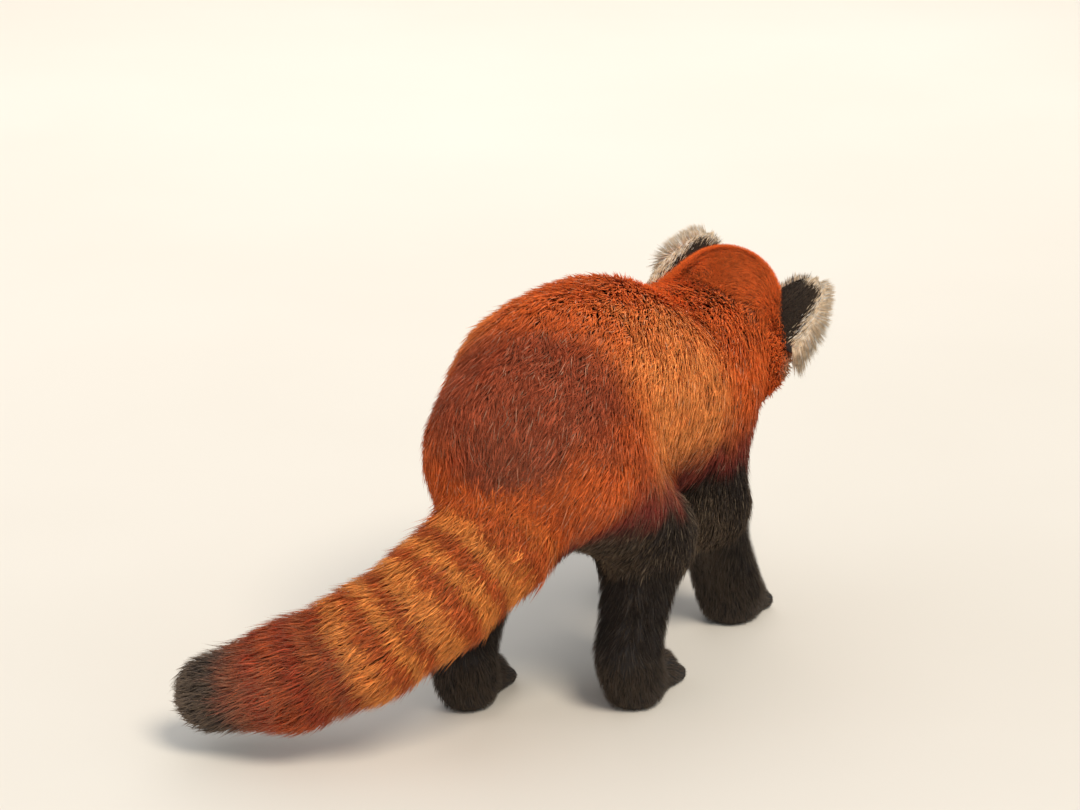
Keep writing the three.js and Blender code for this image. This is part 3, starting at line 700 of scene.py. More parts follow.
def tail_markings(points):
    at, _ = tail_share(points)
    at = at + 0.006 * ripples(points, 30, 4)
    ring = 0.5 + 0.5 * np.sin(2 * math.pi * (at * RINGS + 0.1))
    brush = ramp(0.83, 0.97, at + 0.02 * ripples(points, 14, 6))
    return layered(
        RING_LIGHT, points, (RING_DARK, ramp(0.25, 0.85, ring) * 0.9),
        (TAIL_END, ramp(0.56, 0.72, at) * 0.85), (TAIL_TIP, brush))


def head_markings(points):
    local = head_place(points)
    x, y, z = np.abs(local[:, 0]), local[:, 1], local[:, 2]
    ear_side = spot(local, (47, -8, -8), (24, 30, 20)) * 0.95
    brow = spot(local, (25, -36, 23), (15, 26, 10)) * 0.95
    muzzle = (1 - ramp(-46, -38, y - 0.1 * x)) * (1 - ramp(2, 14, z))
    cheek = spot(local, (35, -30, -17), (14, 26, 15))
    track = (x - np.interp(-z, (-8, 26), (19, 27))) / 7.5
    track = np.hypot(track, 0.8 * np.maximum(0, np.abs(z + 10) - 18) / 6)
    tear = (1 - ramp(0.7, 1.15, track)) * (1 - ramp(-22, -8, y)) * 0.95
    throat = (1 - ramp(-46, -34, z)) * ramp(-40, -20, y)
    lips = 1 - ramp(0.8, 2.2, distance_to_line(points, MOUTH))
    return layered(
        DEEP, points, (FOREHEAD, ramp(10, -25, y) * 0.8), (CREAM, ear_side), (WHITE, brow), (WHITE, muzzle),
        (WHITE, cheek), (TEAR, tear), (BLACK, throat * 0.92), (BLACK, lips * 0.85))


# %% All markings together


def markings(points, weight):
    colours = trunk_markings(points)
    colours = blend(colours, tail_markings(points), share_of(weight, "tail"))
    colours = blend(colours, head_markings(points), share_of(weight, "skull", "cheek", "muzzle"))
    return blend(colours, BLACK, share_of(weight, "shank", "foot", "toe"))


def paint_vertices(obj, colours):
    """Stores a linear colour for each vertex in the attribute that the coat's material reads."""
    layer = obj.data.color_attributes.new("coat", "FLOAT_COLOR", "POINT")
    opaque = np.column_stack([colours, np.ones(len(colours))])
    layer.data.foreach_set("color", opaque.astype(np.float32).ravel())


# The skin under the coat is painted darker than the hair, as painted shade beneath it.
SKIN_PAINTED_SHADE = 0.8
DARK_AROUND_EYE = 11.2
places = get_places(skin)
weight = shares(places)
skin_colours = markings(places, weight) * SKIN_PAINTED_SHADE
lips = np.clip(1.3 - distance_to_line(places, MOUTH) / 1.6, 0, 1)
from_eye = np.minimum(*[np.linalg.norm(places - centre, axis=1) for centre in EYES.values()])
bare = np.maximum(lips, np.clip((DARK_AROUND_EYE - from_eye) / 1.5, 0, 1))
paint_vertices(skin, blend(skin_colours, linear("#1a1210"), bare))
print("skin painted")

# %% [markdown]
# Hair is a dry, slightly glossy fibre. Its colour comes from the attribute, a fine noise at about 3 mm keeps
# neighbouring tufts from looking alike, and a little sheen gives the soft light edge of a thick coat.

# %% Fur and skin materials


def fur_material(name, sheen, roughness):
    material, tree = new_material(name)
    colour = node(tree, "ShaderNodeAttribute", {}, attribute_name="coat")
    place = node(tree, "ShaderNodeTexCoord", {})
    grain = node(tree, "ShaderNodeTexNoise", {
        "Vector": place.outputs["Object"], "Scale": 330.0, "Detail": 2.0})
    shade = node(tree, "ShaderNodeMapRange", {
        "Value": grain.outputs["Fac"], "From Min": 0.3, "From Max": 0.7, "To Min": 0.78, "To Max": 1.18})
    mixed = node(tree, "ShaderNodeVectorMath", {
        "Vector": colour.outputs["Color"], "Scale": shade.outputs["Result"]}, operation="SCALE")
    surface(tree, {
        "Base Color": mixed.outputs["Vector"], "Roughness": roughness, "Specular IOR Level": 0.2,
        "Sheen Weight": sheen, "Sheen Roughness": 0.45, "Sheen Tint": rgba("#ffd9b0")})
    return material


coat_fur = fur_material("guard_hair", 0.3, 0.8)
dark_fur = fur_material("black_leg_hair", 0.12, 0.6)
pale_fur = fur_material("pale_face_hair", 0.15, 0.8)

hide, tree = new_material("hide_under_the_coat")
colour = node(tree, "ShaderNodeAttribute", {}, attribute_name="coat")
place = node(tree, "ShaderNodeTexCoord", {})
pile = node(tree, "ShaderNodeTexNoise", {"Vector": place.outputs["Object"], "Scale": 700.0, "Detail": 4.0})
bump = node(tree, "ShaderNodeBump", {"Height": pile.outputs["Fac"], "Strength": 0.6, "Distance": 0.0015})
surface(tree, {"Base Color": colour.outputs["Color"], "Roughness": 0.8, "Normal": bump.outputs["Normal"]})
skin.data.materials.append(hide)

# %% [markdown]
# Each group has its own hair: how long, how wide a tuft, how much neighbours cling together, and which way
# it lies. Hair lies from the head towards the tail and down the legs, and on the face away from the nose.

# %% Hair of each group
HAIR = {
    "trunk": (38, 1.2, 0.3), "belly": (31, 1.15, 0.35), "neck": (37, 1.2, 0.3), "tail": (34, 1.15, 0.3),
    "thigh": (28, 1.0, 0.3), "shank": (19, 0.95, 0.35), "foot": (12, 0.9, 0.25), "toe": (6, 0.8, 0.1),
    "skull": (15, 0.85, 0.2), "cheek": (32, 1.0, 0.4), "muzzle": (5, 0.65, 0.05),
}
HAIR_TABLE = np.array([HAIR[name] for name in GROUP_NAMES])


def lie_at(points, weight, normal):
    """The way that the hair lies at each point, along the skin."""
    steady = {
        "trunk": (0, 1, -0.5), "belly": (0, 1, -0.1), "neck": (0, 1, -0.5), "thigh": (0, 0.5, -1),
        "shank": (0, 0.15, -1), "foot": (0, -0.7, -0.7), "toe": (0, -1, -0.3),
    }
    from_nose = unit(points - NOSE_TIP)
    way = np.zeros_like(points)
    for k, name in enumerate(GROUP_NAMES):
        if name == "tail":
            along = tail_share(points)[1]
        elif name in steady:
            along = unit(np.array([steady[name]], float))
        else:
            along = from_nose
        way = way + weight[:, k:k + 1] * along
    flat = 1 - share_of(weight, "tail") * ramp(0.86, 0.98, tail_share(points)[0])
    return unit(way - ((way * normal).sum(1) * flat)[:, None] * normal)


# %% [markdown]
# A tuft is a thin closed wedge: a triangle at the root, another at its middle, and a point. Short hair needs
# no middle. Three long tufts in ten are shorter, broader and lower, as underfur is. The points are settled
# onto levels between the skin and the tips, so the coat follows every curve of the body, and the tips of
# neighbours are then drawn together into small locks.

# %% Roots spread over the skin
skin.data.calc_loop_triangles()
triangles = skin.data.loop_triangles
tri_places = get_places(skin)[read(triangles, "vertices", 3, int)]
tri_uvs = read(skin.data.uv_layers.active.data, "uv", 2)[read(triangles, "loops", 3, int)]
tri_sides = tri_places[:, 1:] - tri_places[:, :1]
tri_areas = np.linalg.norm(np.cross(tri_sides[:, 0], tri_sides[:, 1]), axis=1) / 2
tri_centres = tri_places.mean(1)
tri_shares = shares(tri_centres)
print("skin area in cm2", round(tri_areas.sum() / 100))


def spread(chance, count, rng):
    """Roots at random on the skin, each with its place on the unwrap."""
    chosen = rng.choice(len(chance), count, p=chance / chance.sum())
    a, b = rng.random((2, count))
    a, b = np.where(a + b > 1, 1 - a, a), np.where(a + b > 1, 1 - b, b)
    mix = np.stack([1 - a - b, a, b], 1)[:, :, None]
    return (tri_places[chosen] * mix).sum(1), (tri_uvs[chosen] * mix).sum(1)


# %% Tufts as one mesh
LONG_FACES = (
    (0, 1, 4), (0, 4, 3), (1, 2, 5), (1, 5, 4), (2, 0, 3), (2, 3, 5),
    (0, 2, 1), (3, 4, 6), (4, 5, 6), (5, 3, 6))
SHORT_FACES = ((0, 1, 3), (1, 2, 3), (2, 0, 3), (0, 2, 1))
PATCH = 0.0015
RIDGE = 0.7


def add_object(name, mesh):
    made = bpy.data.objects.new(name, mesh)
    bpy.context.collection.objects.link(made)
    return made


def tuft_mesh(name, rings, tips, colours, uvs, faces):
    """rings is a list of arrays of three points for each tuft, tips one point for each.

    Each tuft's patch of the map OFBake is two PATCHes wide and lies at its root's place, in uvs.
    """
    count = len(tips)
    points = np.concatenate([*rings, tips[:, None]], 1)
    size = points.shape[1]
    points[:, :, 2] = np.maximum(points[:, :, 2], FLOOR_GAP)
    corners = (np.array(faces)[None] + (np.arange(count) * size)[:, None, None]).reshape(-1, 3)
    mesh = bpy.data.meshes.new(name)
    mesh.vertices.add(count * size)
    mesh.vertices.foreach_set("co", to_row(points.reshape(-1, 3)).ravel())
    mesh.loops.add(len(corners) * 3)
    mesh.loops.foreach_set("vertex_index", corners.ravel())
    mesh.polygons.add(len(corners))
    mesh.polygons.foreach_set("loop_start", np.arange(len(corners)) * 3)
    mesh.update(calc_edges=True)
    across = np.tile((-PATCH, 0, PATCH), size // 3).tolist() + [0]
    along = np.repeat(np.linspace(-PATCH, 0, size // 3), 3).tolist() + [PATCH]
    patch = uvs[:, None] + np.column_stack([across, along])[None]
    layer = mesh.uv_layers.new(name="OFBake")
    layer.data.foreach_set("uv", patch.reshape(-1, 2)[corners.ravel()].ravel())
    obj = add_object(name, mesh)
    paint_vertices(obj, colours.reshape(-1, 3))
    shade_smooth(obj)
    return obj


# %% Grow a piece of the coat
LOCK = 14  # tufts to a lock
WILD, UNDER, FLECKED, GREYED = 0.06, 0.3, 0.05, 0.16  # shares of the tufts
UNDER_LENGTH, UNDER_LEVEL, UNDER_WIDTH = 0.75, 0.68, 1.5
WILD_LENGTH, WILD_LEVEL = 1.25, 0.25
ROOT_PART, TIP_PART = 0.54, 0.44
ROOT_DEPTH = 0.8
DARK_SUM = 0.09  # a tuft whose three values add up to less counts as black
# A tuft's colour at its root, middle and tip: the darker roots are painted shade deep in the coat, and the
# lighter tips are the hair's own light tips.
LONG_ROOT_SHADE_AND_LIGHT_TIP = (0.78,) * 3 + (0.97,) * 3 + (1.25,)
SHORT_ROOT_SHADE_AND_LIGHT_TIP = (0.8,) * 3 + (1.15,)


def drawn_together(roots, points, pulls, every):
    """Moves each point towards that of the nearest of the few roots that lead a lock."""
    leaders = tree_of(roots[::every])
    lead = every * np.array([leaders.find(root)[1] for root in roots])
    return [p + (p[lead] - p) * pull[:, None] for p, pull in zip(points, pulls)], lead


def grow(name, chance, count, long, seed):
    rng = np.random.default_rng(seed)
    roots, uvs = spread(chance, count, rng)
    weight = shares(roots)
    length, width, cling = (weight @ HAIR_TABLE).T
    _, normal = steepest(roots, 0.0)
    lie = lie_at(roots, weight, normal)
    side = np.cross(lie, normal)
    wild = rng.random(count) < WILD
    under = (rng.random(count) < UNDER) & long & ~wild
    sway = 0.16 * ripples(roots, 24, 7) + rng.normal(0, 0.2, count)
    way = unit(lie + side * sway[:, None])
    length = length * rng.uniform(0.75, 1.15, count)
    length = length * np.where(wild, WILD_LENGTH, np.where(under, UNDER_LENGTH, 1))
    tip_level = rng.uniform(0.72, 1.14, count) * np.where(under, UNDER_LEVEL, 1) + wild * WILD_LEVEL
    tip_level = tip_level + share_of(weight, "shank", "foot") * rng.uniform(0, 0.7, count)
    middle_level = tip_level * rng.uniform(0.54, 0.7, count)
    middle = settle(roots + way * (length * ROOT_PART)[:, None], middle_level, 2)
    onward = unit(middle - roots + side * (0.1 * length * rng.normal(0, 1, count))[:, None])
    _, middle_normal = steepest(middle, 0.5)
    onward = unit(onward - (onward * middle_normal).sum(1)[:, None] * middle_normal * 0.8)
    tips = settle(middle + onward * (length * TIP_PART)[:, None], tip_level, 2)
    pull = cling * rng.uniform(0.5, 1.1, count)
    (middle, tips), lead = drawn_together(roots, [middle, tips], [pull * 0.4, pull], LOCK)
    base = markings(roots + (tips - roots) * 0.4, weight)
    tone = rng.normal(1, 0.09, count) * (1 + 0.1 * rng.normal(size=count)[lead])
    base = base * np.clip(tone, 0.6, 1.5)[:, None]
    fleck = (rng.random(count) < FLECKED) & (share_of(weight, "trunk", "thigh") > 0.5)
    # Roots darkened as painted shade, tips lightened as the hair's own light tips.
    colours = base[:, None] * np.array(LONG_ROOT_SHADE_AND_LIGHT_TIP if long else SHORT_ROOT_SHADE_AND_LIGHT_TIP)[None, :, None]
    colours[fleck, -1] = blend(colours[fleck, -1], CREAM, np.full(fleck.sum(), 0.6))
    # Some black tufts get grey tips: partly grey hairs of the coat, partly painted highlight on the black
    # fur.
    grey = (rng.random(count) < GREYED) & (base.sum(1) < DARK_SUM)
    colours[grey, -1] = blend(colours[grey, -1], GREY_AND_HIGHLIGHT, np.full(grey.sum(), 0.6))
    half = (width * np.where(under, UNDER_WIDTH, 1) * rng.uniform(0.75, 1.2, count) / 2)[:, None]
    rings = []
    for place, share in ((roots - normal * ROOT_DEPTH, 0.8), (middle, 1.2))[:2 if long else 1]:
        wide = side * half * share
        rings.append(np.stack([place - wide, place + normal * half * RIDGE * share, place + wide], 1))
    obj = tuft_mesh(name, rings, tips, colours, uvs, LONG_FACES if long else SHORT_FACES)
    print(name, count, "tufts", len(obj.data.polygons), "triangles")
    return obj


# %% [markdown]
# The coat is parted into pieces of under 200 000 triangles, by place. Long tufts cover the trunk, neck,
# tail, thighs and ruff, and short ones the face, legs and feet.

# %% Where each piece grows
X, Y, Z = tri_centres.T
KINDS = (
    ("trunk", "belly", "neck", "thigh"), ("tail",), ("cheek",), ("skull", "muzzle"), ("shank", "foot", "toe"))
strongest = np.argmax(np.stack([share_of(tri_shares, *names) for names in KINDS], 1), 1)
LONG, TAIL, RUFF, FACE, LEG = range(5)
tail_at = tail_share(tri_centres)[0]
spine_x = np.interp(Y, SPINE[::-1, 1], SPINE[::-1, 0])
EYE_CLEAR, MOUTH_CLEAR, SOLE_CLEAR = 6.7, 1.5, 2
NOSE_CLEAR = (11, 9, 8.5)
eye_fronts = [centre + EYE_WAYS[side] * EYE_DEPTH for side, centre in EYES.items()]
from_eyes = np.min([np.linalg.norm(tri_centres - front, axis=1) for front in eye_fronts], 0)
from_nose = np.linalg.norm((head_place(tri_centres) - head_place(NOSE_TIP[None])) / NOSE_CLEAR, axis=1)
from_mouth = distance_to_line(tri_centres, MOUTH)
clear = (from_eyes > EYE_CLEAR) & (from_nose > 1) & (from_mouth > MOUTH_CLEAR) & (Z > SOLE_CLEAR)
chance = tri_areas * clear
PIECES = []
BANDS = (
    ("rump", 70, np.inf, 13500, 14000), ("loin", -30, 70, 10000, 11500),
    ("shoulder", -np.inf, -30, 12500, 14000))
for name, low, high, left_count, right_count in BANDS:
    band = (strongest == LONG) & (Y > low) & (Y <= high)
    PIECES.append((f"coat_{name}_left", band & (X > spine_x), True, left_count, "red_coat"))
    PIECES.append((f"coat_{name}_right", band & (X <= spine_x), True, right_count, "red_coat"))
PIECES += [
    ("coat_tail_base", (strongest == TAIL) & (tail_at < 0.5), True, 13500, "tail_coat"),
    ("coat_tail_end", (strongest == TAIL) & (tail_at >= 0.5), True, 13000, "tail_coat"),
    ("coat_ruff", strongest == RUFF, True, 8500, "red_coat"),
    ("coat_head", strongest == FACE, False, 32000, "red_coat"),
    ("coat_legs_fore", (strongest == LEG) & (Y < -20), False, 20000, "dark_coat"),
    ("coat_legs_hind", (strongest == LEG) & (Y >= -20), False, 20000, "dark_coat"),
]

# %% Grow them
FURS = {"red_coat": coat_fur, "tail_coat": coat_fur, "dark_coat": dark_fur}
coat = []
for k, (name, there, long, count, slot) in enumerate(PIECES):
    piece = grow(name, chance * there, count, long, 100 + k)
    piece.data.materials.append(FURS[slot])
    coat.append((piece, slot))

# %% [markdown]
# The ears are broad upright cups, open to the front: black behind, with a pale rim of longer hair. A flat
# grid is bent into the cup, given a thickness, and smoothed.

# %% Ears
EAR_ROOT = (54, 12, 20)
EAR_HALF, EAR_HEIGHT, EAR_LEAN, EAR_CUP = 25.5, 51, -13, 12
EAR_SUNK = 0.22  # the share of its height by which an ear's root goes into the head
EAR_SWIVELS = {1: math.radians(55), -1: math.radians(-8)}


def ear_point(side, u, t):
    """A point of the ear's sheet, in the animal's frame: u is -1 to 1 across, t runs from root to tip."""
    rise = np.maximum(t, 0)
    half = EAR_HALF * np.sqrt(np.maximum(0.02, 1 - rise ** 2.2))
    depth = 2 + EAR_CUP * (1 - rise ** 2)
    across, back = half * u, depth * (1 - u * u) - 2
    sine, cosine = math.sin(EAR_SWIVELS[side]), math.cos(EAR_SWIVELS[side])
    x = side * EAR_ROOT[0] + EAR_LEAN * t + across * cosine - back * sine
    y = EAR_ROOT[1] + across * sine + back * cosine
    z = EAR_ROOT[2] + EAR_HEIGHT * t - 6 * u * side * (1 - rise)
    return np.stack([x, y, z], -1) @ HEAD_TURN.T + HEAD_AT


def make_ear(name, side):
    bpy.ops.mesh.primitive_grid_add(x_subdivisions=20, y_subdivisions=20, size=2)
    ear = bpy.context.object
    ear.name = name
    flat = np.array([v.co for v in ear.data.vertices])
    u, t = flat[:, 0], (flat[:, 1] + 1) / 2 * (1 + EAR_SUNK) - EAR_SUNK
    set_places(ear, ear_point(side, u, t))
    apply_modifier(ear, "SOLIDIFY", {"thickness": 0.0026, "offset": 0.0})
    edit_whole(bpy.ops.mesh.normals_make_consistent, inside=False)
    edit_whole(bpy.ops.uv.smart_project, angle_limit=UNWRAP_ANGLE, island_margin=0.01)
    apply_modifier(ear, "SMOOTH", {"factor": 0.5, "iterations": 2})
    shade_smooth(ear)
    places = get_places(ear)
    nearest = tree_of(ear_point(side, u, t))
    opening = HEAD_TURN @ np.array((math.sin(EAR_SWIVELS[side]), -math.cos(EAR_SWIVELS[side]), 0))
    mates = [nearest.find(place)[0] for place in places]
    inside = ramp(-0.4, 0.4, (places - np.array(mates)) @ opening)
    paint_vertices(ear, blend(np.tile(linear("#1e1614"), (len(places), 1)), linear("#d8bfa4"), inside))
    ear.data.materials.append(hide)
    return ear


ears = {"left": make_ear("ear_left_skin", 1), "right": make_ear("ear_right_skin", -1)}

# %% [markdown]
# Ear hair is short and black on the middle of the back, and cream and longer along the rim, inside the cup
# and down the outer edge, where it hangs in a fringe.

# %% Hair of the ears
EAR_TUFTS = 13000
EAR_SHARES = (0.42, 0.28, 0.30)  # on the back, the rim and inside the cup
EAR_LENGTHS = np.array((6.5, 12, 15))
EAR_TUFT_HALF = 0.45
RIM_FROM = 0.86


def ear_coat(name, side, seed):
    rng = np.random.default_rng(seed)
    count = EAR_TUFTS
    kind = rng.choice(3, count, p=EAR_SHARES)
    u = rng.uniform(-1, 1, count)
    t = rng.uniform(-0.12, 1, count)
    edge = np.sign(rng.uniform(-0.55, 1, count)) * side
    back_hair, rim, inner_hair = kind == 0, kind == 1, kind == 2
    u = np.where(rim, edge * rng.uniform(RIM_FROM, 1, count), u)
    here = ear_point(side, u, t)
    across = unit(ear_point(side, u + 0.02, t) - ear_point(side, u - 0.02, t))
    up = unit(ear_point(side, u, np.minimum(t + 0.02, 1)) - ear_point(side, u, t - 0.02))
    front = unit(np.cross(across, up))
    opening = head_way(math.sin(EAR_SWIVELS[side]), -math.cos(EAR_SWIVELS[side]), 0)
    front = front * np.sign((front * opening).sum(1))[:, None]
    outer = u * side
    forward = inner_hair | (rim & (rng.random(count) < 0.5))
    face_way = np.where(forward[:, None], front, -front)
    out = across * np.sign(u)[:, None]
    way = np.where(rim[:, None], out * 0.9 + up * 0.55 - front * 0.1, up * 0.9 + out * 0.15)
    way = np.where(inner_hair[:, None], up * 0.45 - out * 0.25 + front * 0.6, way)
    droop = np.where(rim & (outer > 0), 1 - ramp(-0.05, 0.75, t), 0)
    way = way + (out * 0.35 + np.array((0, 0, -1.5)) - way) * droop[:, None]
    way = unit(way + rng.normal(0, 0.09, (count, 3)))
    length = EAR_LENGTHS[kind] * rng.uniform(0.6, 1.25, count)
    length = length * (1 + 1.1 * droop)
    root = here + face_way * 1.0
    tips = root + way * length[:, None] + face_way * (length * np.where(rim, 0.02, 0.14))[:, None]
    patch_side = 0.72 + 0.1 * rng.normal(size=count)
    patch_top = 0.88 + 0.05 * rng.normal(size=count)
    dark = back_hair & (outer < patch_side) & (t < patch_top)
    dark = dark | (rim & (outer < 0) & (rng.random(count) < 0.35))
    base = np.where(dark[:, None], BLACK, np.where((rng.random(count) < 0.25)[:, None], WHITE, CREAM))
    base = base * rng.normal(1, 0.08, count)[:, None]
    # The roots of ear tufts are darker, as painted shade, and their tips a little lighter.
    colours = base[:, None] * np.array((0.6, 0.6, 0.6, 1.05))[None, :, None]
    half = (EAR_TUFT_HALF * rng.uniform(0.8, 1.25, count))[:, None]
    sideways = unit(np.cross(way, face_way))
    ring = np.stack([root - sideways * half, root + face_way * half * RIDGE, root + sideways * half], 1)
    place_across = (u + 1) / 2 * 0.46 + np.where(inner_hair, 0.5, 0.02)
    uvs = np.column_stack([place_across, 0.05 + 0.9 * (t + 0.12) / 1.12])
    return tuft_mesh(name, [ring], tips, colours, uvs, SHORT_FACES)


for side_name, side in (("left", 1), ("right", -1)):
    fringe = ear_coat(f"ear_{side_name}_hair", side, 300 + side)
    fringe.data.materials.append(pale_fur)
    coat.append((fringe, "ear_coat"))
print("ears haired")

# %% [markdown]
# A red panda's eyes are small and dark. Each is a ball with a slightly raised cornea, so that it catches one
# clear highlight, set in a thin oval rim of dark skin.

# %% Eyes
PUPIL_EDGE = (0.0026, 0.0034)  # metres from the eye's front
CORNEA = 0.5


def ball_piece(name, centre, radius, segments=40):
    bpy.ops.mesh.primitive_uv_sphere_add(
        segments=segments, ring_count=segments // 2, radius=radius / 1000, location=to_row(centre))
    made = bpy.context.object
    made.name = name
    bpy.ops.object.transform_apply(location=True, rotation=True, scale=True)
    shade_smooth(made)
    return made


def eye_material(name, centre, way):
    """A wet eye: a black pupil in a dark brown iris, told apart by their distance from the eye's front."""
    material, tree = new_material(name)
    place = node(tree, "ShaderNodeTexCoord", {})
    offset = node(tree, "ShaderNodeVectorMath", {"Vector": place.outputs["Object"]}, operation="DISTANCE")
    offset.inputs[1].default_value = tuple(to_row(centre + way * EYE_RADIUS))
    zones = node(tree, "ShaderNodeMapRange", {
        "Value": offset.outputs["Value"], "From Min": PUPIL_EDGE[0], "From Max": PUPIL_EDGE[1],
        "To Min": 0.0, "To Max": 1.0})
    colour = node(tree, "ShaderNodeMix", {
        "Factor": zones.outputs["Result"], 6: rgba("#030303"), 7: rgba("#1f0e07")}, data_type="RGBA")
    surface(tree, {"Base Color": colour.outputs[2], "Roughness": 0.05, "IOR": 1.376})
    return material


eyes = {}
for side, centre in EYES.items():
    eye = ball_piece(f"eye_{side}_ball", centre, EYE_RADIUS)
    places = get_places(eye)
    turned = (places - centre) @ EYE_WAYS[side] / EYE_RADIUS
    places += (EYE_WAYS[side] * CORNEA)[None] * ramp(0.75, 0.95, turned)[:, None]
    set_places(eye, places)
    eye.data.materials.append(eye_material(f"wet_eye_{side}", centre, EYE_WAYS[side]))
    eyes[side] = eye

# %% Eye rims
lid_hide, tree = new_material("dark_lid_skin")
place = node(tree, "ShaderNodeTexCoord", {})
creases = node(tree, "ShaderNodeTexNoise", {"Vector": place.outputs["Object"], "Scale": 900.0, "Detail": 3.0})
bump = node(tree, "ShaderNodeBump", {"Height": creases.outputs["Fac"], "Strength": 0.4, "Distance": 0.0008})
surface(tree, {"Base Color": rgba("#1b1412"), "Roughness": 0.5, "Normal": bump.outputs["Normal"]})
LID_RADIUS, LID_THICK = 0.0063, 0.0008  # metres
LID_OVAL = (1.1, 0.88, 1.0)
LID_BEND = 0.022
LID_FORWARD = 0.7


def lid(side):
    way, upright = Vector(EYE_WAYS[side]), Vector(head_way(0, 0, 1))
    level_axis = upright.cross(way).normalized()
    upright = way.cross(level_axis)
    bpy.ops.mesh.primitive_torus_add(
        major_radius=LID_RADIUS, minor_radius=LID_THICK, major_segments=40, minor_segments=12)
    made = bpy.context.object
    made.name = f"eyelid_{side}"
    flat = raw_places(made) * LID_OVAL
    flat[:, 2] -= LID_BEND * flat[:, 0] ** 2
    middle = EYES[side] + EYE_WAYS[side] * (EYE_DEPTH + LID_FORWARD)
    set_places(made, middle + flat @ np.array((level_axis, upright, way)))
    shade_smooth(made)
    made.data.materials.append(lid_hide)
    return made


lids = [lid(side) for side in EYES]

# %% [markdown]
# The nose is a moist black pad. It is broad above and narrow below, where it joins the line of the lip, and
# its two nostrils are comma-shaped hollows that open to the side.

# %% Nose
NOSE_HALVES = np.array((10, 7, 7.5))
NARROWER_BELOW, NOSTRIL_OUT, NOSTRIL_DEPTH = 0.28, 4.6, 3.2
CLEFT_DEPTH, CLEFT_WIDTH = 0.9, 0.8
nose = ball_piece("nose_pad", (0, 0, 0), 1, 64)
flat = (np.array([v.co for v in nose.data.vertices]) - to_row((0, 0, 0))) * 1000
local = flat * NOSE_HALVES
local[:, 0] *= 1 - NARROWER_BELOW * ramp(0.1, -1, flat[:, 2])
for side in (1, -1):
    outward = local[:, 0] - side * NOSTRIL_OUT
    hole = np.hypot(outward / 2.3, (local[:, 2] + 0.4 + 0.35 * side * outward) / 1.7)
    local[:, 1] += NOSTRIL_DEPTH * (1 - ramp(0.3, 1.25, hole)) * (flat[:, 1] < 0)
cleft = CLEFT_DEPTH * np.exp(-(local[:, 0] / CLEFT_WIDTH) ** 2)
local[:, 1] += cleft * (flat[:, 1] < 0) * ramp(0.3, -0.5, flat[:, 2])
set_places(nose, local @ HEAD_TURN.T + NOSE_TIP)
leather, tree = new_material("moist_nose_leather")
place = node(tree, "ShaderNodeTexCoord", {})
pebbles = node(tree, "ShaderNodeTexVoronoi", {"Vector": place.outputs["Object"], "Scale": 1100.0})
bump = node(tree, "ShaderNodeBump", {
    "Height": pebbles.outputs["Distance"], "Strength": 0.35, "Distance": 0.0006})
surface(tree, {
    "Base Color": rgba("#15100f"), "Roughness": 0.32, "Normal": bump.outputs["Normal"], "Coat Weight": 0.25})
nose.data.materials.append(leather)
print("nose", len(nose.data.polygons), "faces")

# %% [markdown]
# Claws are curved cones of pale horn with darker streaks. One cone is made for each toe and bent down along
# it.

# %% Claws
horn, tree = new_material("claw_horn")
place = node(tree, "ShaderNodeTexCoord", {})
streaks = node(tree, "ShaderNodeTexNoise", {"Vector": place.outputs["Object"], "Scale": 420.0, "Detail": 2.0})
colour = node(tree, "ShaderNodeMix", {
    "Factor": streaks.outputs["Fac"], 6: rgba("#8d8069"), 7: rgba("#cabfa6")}, data_type="RGBA")
surface(tree, {"Base Color": colour.outputs[2], "Roughness": 0.35, "IOR": 1.54})
CLAW_LENGTH, CLAW_BEND = 12, 5
CLAW_ROOT, CLAW_TIP = 0.0022, 0.0003  # radii in metres
UP = np.array((0, 0, 1))
claws = []
for leg_name, points in LEGS.items():
    bpy.ops.mesh.primitive_cone_add(
        vertices=12, radius1=CLAW_ROOT, radius2=CLAW_TIP, depth=CLAW_LENGTH / 1000)
    claw = bpy.context.object
    claw.name = f"claws_{leg_name}"
    bpy.ops.object.mode_set(mode="EDIT")
    bpy.ops.mesh.select_all(action="SELECT")
    bpy.ops.mesh.subdivide(number_cuts=3)
    for _ in TOES[1:]:
        bpy.ops.mesh.duplicate()
    bpy.ops.object.mode_set(mode="OBJECT")
    flat = raw_places(claw)
    each = len(flat) // len(TOES)
    curved = []
    for k, place_of_toe in enumerate(TOES):
        _, end, ahead = toe_line(points, place_of_toe)
        aside = np.array((-ahead[1], ahead[0], 0))
        part = flat[k * each:(k + 1) * each]
        t = part[:, 2] / CLAW_LENGTH + 0.5
        centre = end + ahead * (2 + CLAW_LENGTH * t)[:, None] + UP * (1 - CLAW_BEND * t * t)[:, None]
        curved.append(centre + aside * part[:, :1] * 0.8 + UP * part[:, 1:2])
    placed = np.concatenate(curved)
    placed[:, 2] = np.maximum(placed[:, 2], FLOOR_GAP)
    set_places(claw, placed)
    edit_whole(bpy.ops.mesh.normals_make_consistent, inside=False)
    shade_smooth(claw)
    claw.data.materials.append(horn)
    claws.append(claw)
print("claws on", len(claws), "paws")

# %% [markdown]
# Whiskers are stiff white hairs that stand out from the pads beside the nose and curve back a little.

# %% Whiskers
WHISKER_STEPS = np.linspace(0, 1, 6)
WHISKERS_A_SIDE = 11
WHISKER_RADIUS, WHISKER_BEND = 0.28, 7


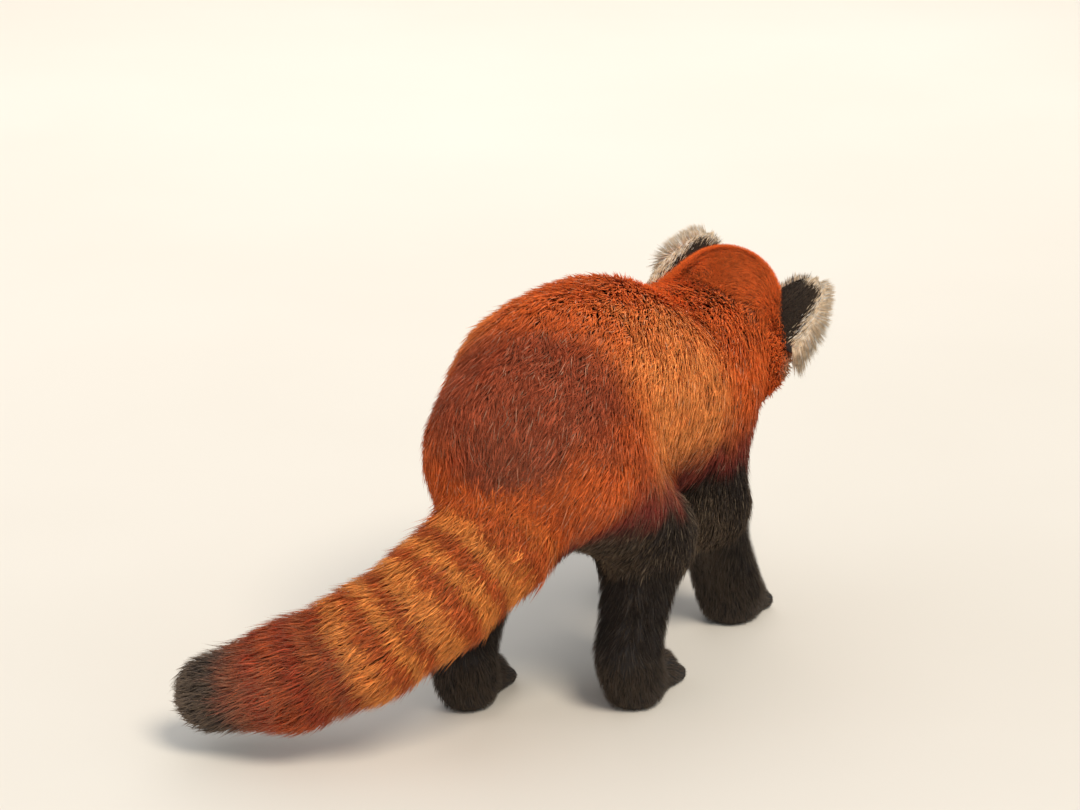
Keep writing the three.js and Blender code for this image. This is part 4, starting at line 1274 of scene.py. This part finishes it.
def whisker_mesh(name, seed):
    rng = np.random.default_rng(seed)
    verts, faces = [], []
    for side in (1, -1):
        for _ in range(WHISKERS_A_SIDE):
            start = in_head(side * rng.uniform(9, 15), rng.uniform(-70, -60), rng.uniform(-21, -11))
            start = settle(start[None], 0.3, 3)[0]
            way = head_way(side * rng.uniform(0.8, 1.1), rng.uniform(-0.25, 0.2), rng.uniform(-0.4, 0.15))
            length = rng.uniform(26, 44)
            first = len(verts)
            for k, t in enumerate(WHISKER_STEPS):
                centre = start + way * length * t + head_way(0, 1, -0.5) * WHISKER_BEND * t * t
                radius = WHISKER_RADIUS * (1 - 0.9 * t)
                for turn_at in range(4):
                    a = turn_at * math.pi / 2
                    verts.append(centre + head_way(0, math.cos(a), math.sin(a)) * radius)
                if k:
                    for m in range(4):
                        n = (m + 1) % 4
                        low, high = first + 4 * (k - 1), first + 4 * k
                        faces.append((low + m, low + n, high + n, high + m))
            faces.append(tuple(first + m for m in (3, 2, 1, 0)))
            last = first + 4 * (len(WHISKER_STEPS) - 1)
            faces.append(tuple(last + m for m in (0, 1, 2, 3)))
    mesh = bpy.data.meshes.new(name)
    mesh.from_pydata([tuple(p) for p in to_row(np.array(verts))], [], faces)
    return add_object(name, mesh)


whiskers = whisker_mesh("whiskers", 41)
bristle, tree = new_material("whisker_bristle")
surface(tree, {"Base Color": rgba("#f0ebe2"), "Roughness": 0.35, "IOR": 1.55})
whiskers.data.materials.append(bristle)
bpy.ops.object.select_all(action="DESELECT")
bpy.context.view_layer.objects.active = whiskers
whiskers.select_set(True)
edit_whole(bpy.ops.mesh.normals_make_consistent, inside=False)
print("whiskers", len(whiskers.data.polygons), "faces")

# %% [markdown]
# Every piece rides on the one body, and the skin stands for the solids of flesh, which are hidden.

# %% Hide the solids of flesh and hang every piece on the body
FLESH = [
    "torso", "neck", "head", "tail_base", "tail_middle", "tail_tip",
    *[f"{part}_{side}" for part in ("thigh", "hindleg", "hindpaw", "upper_foreleg", "foreleg", "forepaw")
      for side in ("left", "right")],
]
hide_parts(*FLESH)
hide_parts("nose")
rigid = [(skin, "red_coat"), (nose, "nose"), (whiskers, "ear_coat")]
rigid += [(claw, "claw") for claw in claws] + [(made, "nose") for made in lids]
for side in EYES:
    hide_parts(f"eye_{side}")
    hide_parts(f"ear_{side}")
    rigid += [(eyes[side], "eye"), (ears[side], "ear_coat")]
for piece, slot in rigid + coat:
    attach(piece, "root")
total = sum(len(piece.data.polygons) for piece, _ in coat)
print("coat triangles", total)

# %% Measure and finish
made_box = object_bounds()
grown = [[round(1000 * (b - a), 1) for a, b in zip(*pair)] for pair in zip(cad_box, made_box)]
print("grown past the solids, mm:", grown)
